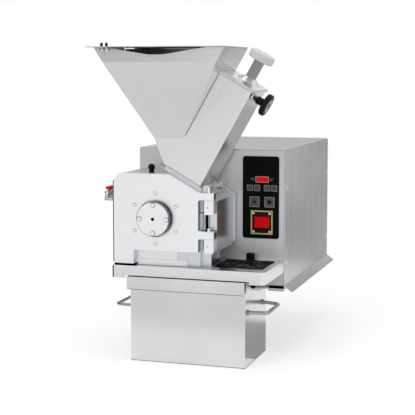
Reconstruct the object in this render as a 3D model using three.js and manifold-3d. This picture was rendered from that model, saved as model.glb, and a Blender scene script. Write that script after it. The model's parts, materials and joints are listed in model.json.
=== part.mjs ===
// Bench-top cutting mill: a tilting feed hopper on a cutting chamber with a front door,
// in front of a drive housing, over a drawer-like collecting vessel.
// Millimetres, +Z up. The model is laid out with y = 0 on the housing's front sheet and -Y
// towards the user, and is then moved so that the origin is the middle of the housing's underside.

import * as THREE from 'three';
import { mergeVertices } from 'three/addons/utils/BufferGeometryUtils.js';
import Module from 'manifold-3d';

const wasm = await Module();
wasm.setup();

// Shared clearances and how finely round things are divided
const fit = 0.3;
const running = 0.5;
const overrun = 4;
const sides = { large: 48, medium: 24, small: 12, bend: 4, wire: 8 };
const quarterTurn = Math.PI / 2;
const half = 1 / 2;
const tilt = THREE.MathUtils.degToRad(29.5);

// Driving dimensions
const sheet = { cover: 2, panel: 2, hopper: 2, vessel: 1.5, table: 2, rail: 2 };

const keys = {
	small: 14.5, smallGap: 2.6, middleGap: 9.6, large: 24.5, largeGap: 11.8, proud: 1.1, travel: 0.6,
	cornerRadius: 1.6,
};
const display = { width: 30, height: 12.4, frame: 1, recess: 0.4 };
const powerSwitch = {
	width: 53, height: 56.5, border: 3.4, frameThick: 3, bodyDepth: 26, bodyInset: 0.8,
	rockerWidth: 35.6, rockerHeight: 26, rockerThick: 9, pivotDepth: 4, pitDepth: 14,
	cutout: 44,
};
const rockerTurn = THREE.MathUtils.degToRad(7);
const keypad = {
	thick: 1.6, left: 10.5, right: 4.3, title: 47.2, displayToKeys: 5.6, keysToLarge: 13.2,
	largeToSwitch: 7.6, foot: 9.9, cornerRadius: 7, aboveTable: 49.6, belowTop: 16.4,
	fromAdapter: 14.3, fromRight: 14,
};

const chamber = {
	left: 98, right: 138, axisHeight: 74, topHeight: 100.5, footHeight: 35.5, depth: 135,
	slopeFrom: 32, chamferWidth: 15, chamferHeight: 17, bore: 56, footRight: 125, footDepth: 76,
	chuteWall: 6, slotWidth: 5, slotHeight: 38, slotDepth: 8, slotFromBlock: 2,
};
const adapter = {
	thick: 16, right: 6, slopeRise: 8, below: 2, chamferWidth: 18, chamferHeight: 10, shaftHole: 31,
};
const door = {
	thick: 17, side: 4, footWidth: 49, footClear: 3.5, lugThick: 17, lowerLug: 43, upperLug: 45,
	lugReach: 14.5, lugBack: 22, notchRadius: 4, lugRadius: 2.5, chamferWidth: 16.5,
	chamferHeight: 17.5, grooveDepth: 6,
};
const hinge = {
	fromRight: 14, radius: 3.5, rise: 12, lowerRise: 7, blockHeight: 32, blockLeft: 8, blockRight: 14,
	sweep: 1.6, blockProud: 1, screwRadius: 2, screwDepth: 5, lift: 0.5, cornerRadius: 5,
	blindDepth: 26,
};
const cover = {
	radius: 39.5, groove: 2.6, proud: 17, edge: 1.5, hole: 4, holeDepth: 12, screwCircle: 32.5,
	screwRadius: 5.9, screwDepth: 3,
};

const rotor = {
	core: 34, blade: 50, bladeThick: 11, endGap: 5, blades: 3, shaft: 15, stub: 12, stubReach: 6,
	stubClear: 1,
};
const knife = { height: 12, length: 24, tipGap: 1.2, bevel: 4 };
const sieve = {
	gap: 2.4, thick: 2, sideWall: 2, halfWidth: 46, barLeft: 46, barRight: 72, barHeight: 13.5,
	barThick: 4, frontThick: 3.5, holeAcross: 5, holeAlong: 8, holeRow: 14, holePitch: 13, shoulder: 26,
	knobRadius: 3.2, knobLength: 4, knobRise: 6, knobFromEnd: 9,
};
const bearings = { outer: 30.5, width: 13, frontOuter: 24, frontWidth: 10 };
const motor = {
	radius: 72, finDepth: 4, fins: 20, length: 200, fromFront: 108, shaft: 14, fanGap: 8, fanThick: 12,
	fanRadius: 56, fanHub: 22, fanBlades: 7, fanBladeThick: 3, cowlLength: 44, cowlSheet: 2, cowlHole: 30,
};
const mount = { thick: 10, width: 170, above: 80, footLength: 70 };
const coupling = { radius: 26, length: 48, fromFront: 22, halfGap: 1, chamfer: 3 };
const inverter = {
	width: 112, depth: 170, height: 150, fromRight: 16, fromBay: 40, ribs: 8, ribDepth: 5, ribThick: 4,
};
const board = { thick: 1.6, standoff: 9, margin: 8, postRadius: 3 };
const inlet = {
	width: 50, height: 30, depth: 24, flange: 6, flangeThick: 2.4, pit: 16, wall: 3, fromRight: 70,
	above: 44,
};

const housing = {
	depth: 490, flareOut: 20, flareRise: 14.4, cornerRadius: 5, marginLeft: 100, frontStrip: 13,
	shaftHole: 36, baseSheet: 3,
};
const vents = { slots: 9, width: 120, height: 5, pitch: 12, fromLeft: 70, above: 110 };

const table = {
	height: 74.5, depth: 178.3, sideMargin: 1.5, apron: 29, notchHeight: 6.5, notchLeft: 1.4,
	notchRight: 6, openingBack: 24, openingFront: 12, cornerCut: 9,
};
const tableKnob = { radius: 10, height: 15.5, fromRight: 79, fromBack: 14, stem: 4 };
const mat = { fromFoot: 3, width: 115, front: 44, fromKnob: 1.5, thick: 1.5 };
const vessel = {
	left: 142, right: 131, depth: 184, height: 194, hemBelow: 24.2, hemHeight: 28.4, hemDepth: 16.3,
	hemProud: 4, hemSide: 2.4, rimWidth: 6, rimBelow: 1.4, cornerRadius: 3,
};
const rail = { clear: 0.8, topFlange: 16, front: 22, back: 6, bodyClear: 1, tie: 20 };
const handle = {
	wire: 4, below: 74, reach: 43.5, front: 22.5, back: 34.5, splay: 7, bend: 9, boss: 6.5,
	bossThick: 3, steps: 26,
};
const lockKnob = { radius: 7, height: 9, stem: 3, fromRight: 30, fromFront: 15 };

const duct = {
	left: 17.8, width: 88, frontInset: 11.6, backInset: 1.6, height: 251, opening: 112, feedLeft: 3,
};
const flange = { lower: 4, upper: 3, left: 20, lowerRight: 98, upperRight: 79, front: 3, back: 1.4 };
const tiltHinge = {
	along: 87, above: 13, pin: 3, eye: 7, endEar: 7, midLug: 18, midInset: 6, head: 5, headThick: 3,
	armInset: 4,
};
const funnel = {
	height: 283.5, band: 32, throat: 80.5, footRise: 15.5, mouthWidth: 302, bandWidth: 263.5,
	throatWidth: 69, footWidth: 7, frontOverhang: 68, dipDepth: 16, dipLeft: 33, dipFlatLeft: 129,
	dipFlatRight: 163, dipRight: 264,
};
const lid = {
	thick: 2, left: 15, front: 14, back: 0.3, pin: 2.2, knuckle: 5, knuckleLength: 60, earLength: 12,
	fromEdge: 30, drop: 2.3, behind: 6.5,
};
const lidBolt = { radius: 2.4, fromLeft: 37.5, apart: 11.8, fromFront: 6 };

const plunger = {
	clear: 1, start: 1.5, height: 60, rod: 12.3, rodAlong: 34.5, rodAcross: 46, rodAbove: 312, cap: 7,
	capOver: 3, boss: 28, bossTop: 14.5, bossHeight: 11, knob: 30, knobThick: 19,
	slotLength: 16, slotWidth: 3, slotFromLeft: 30, knobRound: 4.5,
};
const index = {
	fromTop: 12, across: 34, boss: 9, bossLength: 2.4, pin: 4, collar: 9, collarLength: 13, neck: 6.5,
	neckLength: 5, knob: 26, knobThick: 12, knobRound: 2, faceRing: 16, springLength: 8.4,
	nutHole: 6.5, nutDepth: 2, inside: 1,
};
const coil = { radius: 6.8, wire: 0.6, turns: 3, steps: 8, ring: 5 };

const ballKnob = {
	fromAxis: 33, fromFront: 51, ball: 8, neck: 5.4, neckHeight: 2, stem: 3, stemDepth: 12,
};
const peak = { fromCorner: 78, left: 7, right: 20, rise: 11, tip: 4 };

const latch = {
	above: 36, height: 26, plate: 3, length: 62, fromFront: 4, blockOut: 9, blockLength: 40,
	blockHeight: 26, armOut: 18, cheekOut: 24, cheek: 3, cheekHeight: 17, lip: 4, lipThick: 2, pivot: 3,
	armBar: 7, armPivotBack: 20, armPivotUp: 15, handlePivotBack: 34, handlePivotUp: 20, handleBar: 4,
	handleLength: 45, gripLength: 39, gripThick: 6, gripWidth: 10, gripRise: 5.5, eye: 5.5,
	spindle: 3.5, spindlePad: 5, nut: 5.5, nutThick: 5,
};
const keeper = { radius: 4, past: 2, fromFront: 6.5, baseRadius: 7, baseThick: 1.5, rise: 4 };

// Places worked out from the driving dimensions
const displayOuter = {
	width: display.width + display.frame + display.frame,
	height: display.height + display.frame + display.frame,
};
const keyRow = keys.small * 4 + keys.smallGap * 2 + keys.middleGap;
const keypadSize = {
	width: keypad.left + keyRow + keypad.right,
	height: keypad.title + displayOuter.height + keypad.displayToKeys + keys.small + keypad.keysToLarge
		+ keys.large + keypad.largeToSwitch + powerSwitch.height + keypad.foot,
};
const housingWidth = housing.marginLeft + chamber.right + adapter.right + keypad.fromAdapter
	+ keypadSize.width + keypad.fromRight;
const sideX = housingWidth * half;
const axisX = housing.marginLeft - sideX;
const chamberX = { left: axisX - chamber.left, right: axisX + chamber.right };
const chamberZ = { bottom: table.height + chamber.footHeight };
const axisZ = chamberZ.bottom + chamber.axisHeight;
chamberZ.top = axisZ + chamber.topHeight;
const slopeCorner = { x: axisX + chamber.slopeFrom, z: chamberZ.top };
const slopeAt = (x, rise = 0) => slopeCorner.z + rise / Math.cos(tilt) - (x - slopeCorner.x) * Math.tan(tilt);

const adapterY = { back: -fit, front: -fit - adapter.thick };
const chamberY = { back: adapterY.front - fit, front: adapterY.front - fit - chamber.depth };
const doorY = { back: chamberY.front - fit, front: chamberY.front - fit - door.thick };
const doorX = { left: chamberX.left - door.side, hinge: chamberX.right - hinge.fromRight };
doorX.right = doorX.hinge - door.lugBack;
const hingeY = (doorY.front + doorY.back) * half;
const rabbetY = hingeY + Math.hypot(door.lugReach, door.thick * half) + hinge.sweep;

const keypadZ = { bottom: table.height + keypad.aboveTable };
keypadZ.top = keypadZ.bottom + keypadSize.height;
const keypadX = { right: sideX - keypad.fromRight };
keypadX.left = keypadX.right - keypadSize.width;
const housingHeight = keypadZ.top + keypad.belowTop;
const keyCentreX = keypadX.left + keypad.left + keyRow * half;

const vesselX = { left: -vessel.left, right: vessel.right };
const vesselY = { front: -table.depth - vessel.hemProud + vessel.hemDepth };
vesselY.back = vesselY.front + vessel.depth;
const vesselZ = { top: table.height - vessel.hemBelow };
vesselZ.bottom = vesselZ.top - vessel.height - vessel.cornerRadius;
const bay = {
	left: vesselX.left - vessel.rimWidth - rail.clear - sheet.rail - fit,
	right: vesselX.right + vessel.rimWidth + rail.clear + sheet.rail + fit,
	back: vesselY.back + rail.back,
	top: vesselZ.top + rail.back,
};

const ductS = { left: -duct.left, right: duct.width - duct.left };
const ductY = { front: chamberY.front + duct.frontInset, back: chamberY.back - duct.backInset };
const flangeH = { lower: fit, split: fit + flange.lower };
flangeH.upper = flangeH.split + fit + flange.upper;
const ductMiddleY = (ductY.front + ductY.back) * half;

// Turns chute coordinates (along the slope, towards the back, out of the slope) into the model's
const chuteFrame = new THREE.Matrix4().makeRotationY(tilt).setPosition(slopeCorner.x, 0, slopeCorner.z);
const inChute = (shape) => shape.applyMatrix4(chuteFrame);
const chuteX = (s, z) => {
	const h = (z - slopeCorner.z + s * Math.sin(tilt)) / Math.cos(tilt);
	return slopeCorner.x + s * Math.cos(tilt) + h * Math.sin(tilt);
};

// Solids
function solidOf(shape) {
	if (!shape.isBufferGeometry) return shape;
	const bare = shape.clone();
	bare.deleteAttribute('normal');
	bare.deleteAttribute('uv');
	const welded = mergeVertices(bare);
	return new wasm.Manifold(new wasm.Mesh({
		numProp: 3,
		vertProperties: new Float32Array(welded.attributes.position.array),
		triVerts: new Uint32Array(welded.index.array),
	}));
}

const join = (...shapes) => shapes.flat(Infinity).map(solidOf).reduce((whole, next) => whole.add(next));
const cut = (shape, ...tools) => tools.flat(Infinity).reduce(
	(rest, tool) => rest.subtract(solidOf(tool)), solidOf(shape),
);
const common = (shape, other) => solidOf(shape).intersect(solidOf(other));

function geometryOf(shape) {
	const mesh = solidOf(shape).getMesh();
	const geometry = new THREE.BufferGeometry();
	geometry.setAttribute('position', new THREE.BufferAttribute(mesh.vertProperties, 3));
	geometry.setIndex(new THREE.BufferAttribute(mesh.triVerts, 1));
	geometry.computeVertexNormals();
	return geometry;
}

// A box between two limits on each axis
function block(x, y, z) {
	const low = [Math.min(...x), Math.min(...y), Math.min(...z)];
	const high = [Math.max(...x), Math.max(...y), Math.max(...z)];
	const size = high.map((value, i) => value - low[i]);
	return new THREE.BoxGeometry(...size).translate(...low.map((value, i) => value + size[i] * half));
}

// A closed outline through corners [x, y, radius], each corner eased by its radius
function outline(corners) {
	const shape = new THREE.Shape();
	corners.forEach(([x, y, radius = 0], i) => {
		const here = new THREE.Vector2(x, y);
		const before = new THREE.Vector2(...corners.at(i - 1));
		const after = new THREE.Vector2(...corners[(i + 1) % corners.length]);
		const start = radius ? before.sub(here).setLength(
			Math.min(radius, before.length() * half)
		).add(here) : here;
		if (i === 0) shape.moveTo(start.x, start.y);
		else shape.lineTo(start.x, start.y);
		if (!radius) return;
		const end = after.sub(here).setLength(Math.min(radius, after.length() * half)).add(here);
		shape.quadraticCurveTo(here.x, here.y, end.x, end.y);
	});
	return shape;
}

const rectangle = ([x0, x1], [y0, y1], radius = 0) => outline([
	[x0, y0, radius], [x1, y0, radius], [x1, y1, radius], [x0, y1, radius],
]);

function extrude(shape, from, to) {
	const settings = { depth: to - from, bevelEnabled: false, curveSegments: sides.bend };
	return new THREE.ExtrudeGeometry(shape, settings).translate(0, 0, from);
}

// Outlines drawn flat (x, y), on a front view (x, z) and on a side view (y, z)
const upward = (shape, z) => extrude(shape, Math.min(...z), Math.max(...z));
const frontView = new THREE.Matrix4().makeBasis(
	new THREE.Vector3(1, 0, 0), new THREE.Vector3(0, 0, 1), new THREE.Vector3(0, -1, 0),
);
const sideView = new THREE.Matrix4().makeBasis(
	new THREE.Vector3(0, 1, 0), new THREE.Vector3(0, 0, 1), new THREE.Vector3(1, 0, 0),
);
const backward = (shape, y) => extrude(shape, -Math.max(...y), -Math.min(...y)).applyMatrix4(frontView);
const rightward = (shape, x) => extrude(shape, Math.min(...x), Math.max(...x)).applyMatrix4(sideView);

// A turned piece: its profile is [radius, height], and starts and ends on its axis
const axisTurn = {
	x: new THREE.Matrix4().makeRotationZ(-quarterTurn),
	y: new THREE.Matrix4(),
	z: new THREE.Matrix4().makeRotationX(quarterTurn),
};
function turned(profile, axis, place, around = sides.medium) {
	const points = profile.map(([radius, height]) => new THREE.Vector2(radius, height));
	return new THREE.LatheGeometry(points, around).applyMatrix4(axisTurn[axis]).translate(...place);
}

const rod = (axis, radius, [from, to], place, around) => turned(
	[
		[0, Math.min(from, to)], [radius, Math.min(from, to)], [radius, Math.max(from, to)],
		[0, Math.max(from, to)],
	],
	axis, place, around,
);

// A hollow turned sleeve
const sleeve = (axis, outer, inner, span, place, around) => cut(
	rod(axis, outer, span, place, around),
	rod(axis, inner, [span[0] - overrun, span[1] + overrun], place, around),
);

// A body through rectangles [left, right, front, back, height], one above the other
function stack(levels) {
	const points = levels.flatMap(([left, right, front, back, z]) => [
		left, front, z, right, front, z, right, back, z, left, back, z,
	]);
	const faces = [0, 2, 1, 0, 3, 2];
	for (let level = 0; level < levels.length - 1; level += 1) {
		for (let side = 0; side < 4; side += 1) {
			const a = level * 4 + side;
			const b = level * 4 + (side + 1) % 4;
			faces.push(a, b, b + 4, a, b + 4, a + 4);
		}
	}
	const top = (levels.length - 1) * 4;
	faces.push(top, top + 1, top + 2, top, top + 2, top + 3);
	const geometry = new THREE.BufferGeometry();
	geometry.setAttribute('position', new THREE.Float32BufferAttribute(points, 3));
	geometry.setIndex(faces);
	return geometry;
}

// A round wire along a curve
function wire(curve, radius, steps) {
	const section = new THREE.Shape().absarc(0, 0, radius, 0, Math.PI + Math.PI);
	return new THREE.ExtrudeGeometry(section, {
		steps, extrudePath: curve, bevelEnabled: false, curveSegments: sides.wire * half,
	});
}

// Drive housing
function coverSection() {
	const outer = [
		[-sideX - housing.flareOut, 0], [-sideX, housing.flareRise],
		[-sideX, housingHeight, housing.cornerRadius],
		[sideX, housingHeight, housing.cornerRadius], [sideX, housing.flareRise], [sideX + housing.flareOut, 0],
	];
	const lean = Math.hypot(housing.flareOut, housing.flareRise);
	const inX = sideX - sheet.cover;
	const foot = sheet.cover * lean / housing.flareRise;
	const kink = housing.flareRise - sheet.cover * (lean - housing.flareRise) / housing.flareOut;
	const inner = [
		[sideX + housing.flareOut - foot, 0], [inX, kink],
		[inX, housingHeight - sheet.cover, housing.cornerRadius - sheet.cover],
		[-inX, housingHeight - sheet.cover, housing.cornerRadius - sheet.cover], [-inX, kink],
		[foot - sideX - housing.flareOut, 0],
	];
	return outline([...outer, ...inner]);
}

const insideX = sideX - sheet.cover - fit;
const bayBox = (x = 0, z = 0) => block(
	[bay.left - x, bay.right + x], [-overrun, bay.back], [-overrun, bay.top + z],
);

const housingCover = () => backward(coverSection(), [0, housing.depth]);

function basePan() {
	const shell = block([-insideX, insideX], [0, housing.depth], [0, housing.frontStrip]);
	const hollow = block(
		[-insideX + housing.baseSheet, insideX - housing.baseSheet],
		[housing.baseSheet, housing.depth - housing.baseSheet],
		[housing.baseSheet, housing.frontStrip + overrun],
	);
	const bayWall = block(
		[bay.left - housing.baseSheet, bay.right + housing.baseSheet], [0, bay.back + housing.baseSheet],
		[0, housing.frontStrip],
	);
	return cut(join(cut(shell, hollow), bayWall), bayBox());
}

const panelZ = { bottom: housing.frontStrip + fit, top: housingHeight - sheet.cover - fit };
const panelOutline = () => rectangle(
	[-insideX, insideX], [panelZ.bottom, panelZ.top], housing.cornerRadius - sheet.cover,
);

const switchZ = keypadZ.bottom + keypad.foot + powerSwitch.height * half;
const switchCutout = powerSwitch.cutout * half;

function frontPanel() {
	return cut(
		backward(panelOutline(), [0, sheet.panel]),
		rod('y', housing.shaftHole, [-overrun, sheet.panel + overrun], [axisX, 0, axisZ]),
		block(
			[keyCentreX - switchCutout, keyCentreX + switchCutout], [-overrun, sheet.panel + overrun],
			[switchZ - switchCutout, switchZ + switchCutout],
		),
		bayBox(),
	);
}

const inletX = { middle: sideX - inlet.fromRight };
const inletZ = inlet.above + inlet.height * half;
function inletBox(grow, y) {
	return block(
		[inletX.middle - inlet.width * half - grow, inletX.middle + inlet.width * half + grow], y,
		[inletZ - inlet.height * half - grow, inletZ + inlet.height * half + grow],
	);
}

function rearPanel() {
	const y = [housing.depth - sheet.panel, housing.depth];
	const slots = Array.from({ length: vents.slots }, (_, i) => {
		const z = vents.above + i * vents.pitch;
		return block(
			[-sideX + vents.fromLeft, -sideX + vents.fromLeft + vents.width], [y[0] - overrun, y[1] + overrun],
			[z, z + vents.height],
		);
	});
	return cut(backward(panelOutline(), y), slots, inletBox(fit, [y[0] - overrun, y[1] + overrun]));
}

function mainsInlet() {
	const face = housing.depth + fit;
	return cut(
		join(
			inletBox(0, [housing.depth - inlet.depth, face + inlet.flangeThick]),
			inletBox(inlet.flange, [face, face + inlet.flangeThick]),
		),
		inletBox(-inlet.wall, [face + inlet.flangeThick - inlet.pit, face + inlet.flangeThick + overrun]),
	);
}

// Control panel
const keypadY = { back: -fit, front: -fit - keypad.thick };
const smallKeyZ = keypadZ.top - keypad.title - displayOuter.height - keypad.displayToKeys - keys.small * half;
const largeKeyZ = smallKeyZ - keys.small * half - keypad.keysToLarge - keys.large * half;
const displayZ = keypadZ.top - keypad.title - displayOuter.height * half;
const rowStart = keypadX.left + keypad.left + keys.small * half;
const smallKeyX = [
	rowStart,
	rowStart + keys.small + keys.smallGap,
	rowStart + keys.small * 2 + keys.smallGap + keys.middleGap,
	rowStart + keys.small * 3 + keys.smallGap * 2 + keys.middleGap,
];
const largeKeyStep = (keys.large + keys.largeGap) * half;
const keyPlaces = {
	key_speed_down: [smallKeyX[0], smallKeyZ, keys.small],
	key_speed_up: [smallKeyX[1], smallKeyZ, keys.small],
	key_time_down: [smallKeyX[2], smallKeyZ, keys.small],
	key_time_up: [smallKeyX[3], smallKeyZ, keys.small],
	key_start: [keyCentreX - largeKeyStep, largeKeyZ, keys.large],
	key_stop: [keyCentreX + largeKeyStep, largeKeyZ, keys.large],
};

function square([x, z, size], grow, y, radius = 0) {
	const reach = size * half + grow;
	return backward(rectangle([x - reach, x + reach], [z - reach, z + reach], radius), y);
}

const panelBox = (x, z, size, grow, y) => block(
	[x - size.width * half - grow, x + size.width * half + grow], y,
	[z - size.height * half - grow, z + size.height * half + grow],
);

function keypadPanel() {
	const through = [keypadY.front - overrun, keypadY.back + overrun];
	const plate = backward(
		rectangle([keypadX.left, keypadX.right], [keypadZ.bottom, keypadZ.top], keypad.cornerRadius),
		[keypadY.front, keypadY.back],
	);
	return cut(
		plate,
		Object.values(keyPlaces).map((place) => square(place, fit, through, keys.cornerRadius)),
		panelBox(keyCentreX, displayZ, display, fit, through),
		block(
			[keyCentreX - switchCutout, keyCentreX + switchCutout], through,
			[switchZ - switchCutout, switchZ + switchCutout],
		),
	);
}

const keyCap = (place) => square(
	place, 0, [keypadY.front - keys.proud, -fit - keys.travel], keys.cornerRadius,
);

const displayWindow = () => panelBox(
	keyCentreX, displayZ, display, 0, [keypadY.front + display.recess, keypadY.back],
);

const switchInner = {
	width: powerSwitch.width - powerSwitch.border - powerSwitch.border,
	height: powerSwitch.height - powerSwitch.border - powerSwitch.border,
};
const switchY = { back: keypadY.front - fit, front: keypadY.front - fit - powerSwitch.frameThick };
const switchFrame = () => cut(
	panelBox(keyCentreX, switchZ, powerSwitch, 0, [switchY.front, switchY.back]),
	panelBox(keyCentreX, switchZ, switchInner, 0, [switchY.front - overrun, switchY.back + overrun]),
);

const rockerSweep = powerSwitch.rockerThick * half * Math.sin(rockerTurn);
const rockerSize = { width: powerSwitch.rockerWidth, height: powerSwitch.rockerHeight };
function switchBody() {
	const front = switchY.front + powerSwitch.bodyInset;
	const barrel = switchCutout - fit;
	return cut(
		join(
			panelBox(keyCentreX, switchZ, switchInner, -fit, [front, switchY.back]),
			block(
				[keyCentreX - barrel, keyCentreX + barrel], [front, powerSwitch.bodyDepth],
				[switchZ - barrel, switchZ + barrel],
			),
		),
		panelBox(
			keyCentreX, switchZ, rockerSize, running + rockerSweep,
			[front - overrun, front + powerSwitch.pitDepth],
		),
	);
}

const rockerPivot = new THREE.Vector3(keyCentreX, switchY.front + powerSwitch.pivotDepth, switchZ);
function rockerSwitch() {
	const reach = powerSwitch.rockerHeight * half;
	const back = powerSwitch.rockerThick * half;
	const side = outline([
		[back, rockerSweep - reach], [-back, -reach], [-back * half, 0], [-back, reach],
		[back, reach - rockerSweep],
	]);
	const across = powerSwitch.rockerWidth * half;
	return rightward(side, [-across, across])
		.applyMatrix4(new THREE.Matrix4().makeRotationX(-rockerTurn))
		.translate(...rockerPivot.toArray());
}

const boardY = sheet.panel + board.standoff;
function controlBoard() {
	const x = [keypadX.left + board.margin, keypadX.right - board.margin];
	const z = [switchZ + switchCutout + board.margin, keypadZ.top - board.margin];
	const posts = x.flatMap((px) => z.map((pz) => rod(
		'y', board.postRadius, [sheet.panel + fit, boardY + board.thick * half],
		[
			px + (px < keyCentreX ? board.margin : -board.margin), 0,
			pz + (pz < displayZ ? board.margin : -board.margin),
		],
		sides.small,
	)));
	return join(block(x, [boardY, boardY + board.thick], z), posts);
}

// Drive
const motorY = { front: motor.fromFront, back: motor.fromFront + motor.length };
const panTop = housing.baseSheet + fit;

const onAxis = [axisX, 0, axisZ];

// Motor with its flange on a foot in front and a cowl over the fan behind
function motorBody() {
	const rim = new THREE.Shape();
	const count = motor.fins * 4;
	for (let i = 0; i < count; i += 1) {
		const radius = motor.radius - (i % 4 < 2 ? 0 : motor.finDepth);
		const angle = (i + (i % 2 ? 0 : half)) / count * (Math.PI + Math.PI);
		rim[i ? 'lineTo' : 'moveTo'](radius * Math.cos(angle), radius * Math.sin(angle));
	}
	const x = [axisX - mount.width * half, axisX + mount.width * half];
	const cowl = [motorY.back - motor.cowlSheet, motorY.back + motor.cowlLength];
	const inner = motor.radius - motor.finDepth - motor.cowlSheet;
	return cut(
		join(
			backward(rim, [motorY.front, motorY.back]).translate(axisX, 0, axisZ),
			block(x, [motorY.front - mount.thick, motorY.front], [panTop, axisZ + mount.above]),
			block(
				x, [motorY.front - mount.thick, motorY.front + mount.footLength], [panTop, panTop + mount.thick],
			),
			rod('y', motor.radius - motor.finDepth, cowl, onAxis, sides.large),
		),
		rod('y', motor.shaft + running, [motorY.front - mount.thick - overrun, motorY.back + overrun], onAxis),
		rod('y', inner, [motorY.back, cowl[1] - motor.cowlSheet], onAxis, sides.large),
		rod('y', motor.cowlHole, [cowl[1] - motor.cowlSheet - overrun, cowl[1] + overrun], onAxis),
	);
}

const fanY = { front: motorY.back + motor.fanGap, back: motorY.back + motor.fanGap + motor.fanThick };

const couplingY = { front: coupling.fromFront, back: coupling.fromFront + coupling.length };
const couplingMiddle = (couplingY.front + couplingY.back) * half;
function motorShaft() {
	const start = couplingMiddle + coupling.halfGap;
	const blades = Array.from({ length: motor.fanBlades }, (_, i) => block(
		[motor.fanHub * half, motor.fanRadius], [fanY.front, fanY.back],
		[-motor.fanBladeThick * half, motor.fanBladeThick * half],
	).rotateY(i / motor.fanBlades * (Math.PI + Math.PI)).translate(...onAxis));
	return join(
		rod('y', motor.shaft, [start, fanY.back], onAxis),
		rod('y', motor.fanHub, [fanY.front, fanY.back], onAxis),
		blades,
	);
}

const shaftCoupling = () => sleeve(
	'y', coupling.radius, motor.shaft + fit, [couplingY.front, couplingY.back], onAxis,
);

function inverterBox() {
	const x = [insideX - inverter.fromRight - inverter.width, insideX - inverter.fromRight];
	const y = [bay.back + inverter.fromBay, bay.back + inverter.fromBay + inverter.depth];
	const ribs = Array.from({ length: inverter.ribs }, (_, i) => {
		const ribY = y[0] + (i + half) * inverter.depth / inverter.ribs;
		return block(
			[x[0] - inverter.ribDepth, x[0] + inverter.ribDepth],
			[ribY - inverter.ribThick * half, ribY + inverter.ribThick * half],
			[panTop + inverter.ribDepth, panTop + inverter.height - inverter.ribDepth],
		);
	});
	return join(block(x, y, [panTop, panTop + inverter.height]), ribs);
}

// Cutting chamber
function adapterPlate() {
	const right = chamberX.right + adapter.right;
	const bottom = chamberZ.bottom - adapter.below;
	const rise = adapter.slopeRise;
	const slopeTop = slopeCorner.x + rise / Math.sin(tilt);
	const peakX = slopeCorner.x - peak.fromCorner;
	const shape = outline([
		[chamberX.left, bottom], [right - adapter.chamferWidth, bottom],
		[right, bottom + adapter.chamferHeight],
		[right, slopeAt(right, rise)], [slopeTop, chamberZ.top], [peakX + peak.tip + peak.right, chamberZ.top],
		[peakX + peak.tip, chamberZ.top + peak.rise], [peakX, chamberZ.top + peak.rise],
		[peakX - peak.left, chamberZ.top],
		[chamberX.left + chamber.chamferWidth, chamberZ.top],
		[chamberX.left, chamberZ.top - chamber.chamferHeight],
	]);
	return cut(
		backward(shape, [adapterY.front, adapterY.back]),
		rod('y', adapter.shaftHole, [adapterY.front - overrun, adapterY.back + overrun], onAxis, sides.large),
	);
}

const feedS = { left: duct.feedLeft, right: ductS.right - sheet.hopper };
const feedY = { front: ductY.front + sheet.hopper, back: ductY.back - sheet.hopper };
const axisH = -(chamber.topHeight * Math.cos(tilt) + chamber.slopeFrom * Math.sin(tilt));
const tunnelHalf = sieve.halfWidth + sieve.sideWall + fit;

function chamberBody() {
	const profile = outline([
		[chamberX.left, chamberZ.bottom], [chamberX.right, chamberZ.bottom],
		[chamberX.right, slopeAt(chamberX.right)],
		[slopeCorner.x, slopeCorner.z], [chamberX.left + chamber.chamferWidth, chamberZ.top],
		[chamberX.left, chamberZ.top - chamber.chamferHeight],
	]);
	const footZ = [table.height + fit, chamberZ.bottom + overrun];
	const chute = tunnelHalf + chamber.chuteWall;
	const through = [chamberY.front - overrun, chamberY.back + overrun];
	const slotX = doorX.hinge - hinge.blockLeft + chamber.slotFromBlock;
	const slotTop = upperBlockZ.bottom - chamber.slotFromBlock;
	const [leftKnife, rightKnife] = knifeSlots();
	return cut(
		join(
			backward(profile, [chamberY.front, chamberY.back]),
			block(
				[chamberX.left, axisX + chamber.footRight], [chamberY.front, chamberY.front + chamber.footDepth],
				footZ,
			),
			block(
				[axisX - chute, axisX + chute],
				[chamberY.front + chamber.footDepth - overrun, chamberY.back - chamber.chuteWall], footZ,
			),
		),
		rod('y', chamber.bore, through, onAxis, sides.large),
		inChute(block([feedS.left, feedS.right], [feedY.front, feedY.back], [axisH, overrun])),
		block(
			[axisX - tunnelHalf, axisX + tunnelHalf],
			[through[0], chamberY.back - chamber.chuteWall - chamber.chuteWall], [0, axisZ - sieve.shoulder],
		),
		block([doorX.right, chamberX.right + overrun], [through[0], rabbetY], [0, chamberZ.top]),
		block(
			[slotX, slotX + chamber.slotWidth], [rabbetY - overrun, rabbetY + chamber.slotDepth],
			[slotTop - chamber.slotHeight, slotTop],
		),
		rod(
			'z', ballKnob.stem + fit, [chamberZ.top - ballKnob.stemDepth, chamberZ.top + overrun],
			[...ballPlace(), 0], sides.small,
		),
		leftKnife, rightKnife,
	);
}

// The two fixed knives lie level with the rotor's axis, in slots in the chamber's sides
const knifeReach = rotor.blade + knife.tipGap;
function knifeBar(side, grow) {
	const from = axisX + side * knifeReach;
	const to = axisX + side * (knifeReach + knife.length + grow);
	const y = [chamberY.front + rotor.endGap - grow, chamberY.back - rotor.endGap + grow];
	const z = [axisZ - knife.height * half - grow, axisZ + knife.height * half + grow];
	return block([from - side * grow, to], y, z);
}
const knifeSlots = () => [knifeBar(-1, fit), knifeBar(1, fit)];
function fixedKnife(side) {
	const y = [chamberY.front - overrun, chamberY.back + overrun];
	const tip = axisX + side * knifeReach;
	const bevel = outline([
		[tip - side * overrun, axisZ - knife.height * half - overrun],
		[tip + side * knife.bevel, axisZ - knife.height * half - overrun],
		[tip, axisZ + knife.height * half - knife.bevel],
		[tip - side * overrun, axisZ + knife.height * half - knife.bevel],
	]);
	return cut(knifeBar(side, 0), backward(bevel, y));
}

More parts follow.
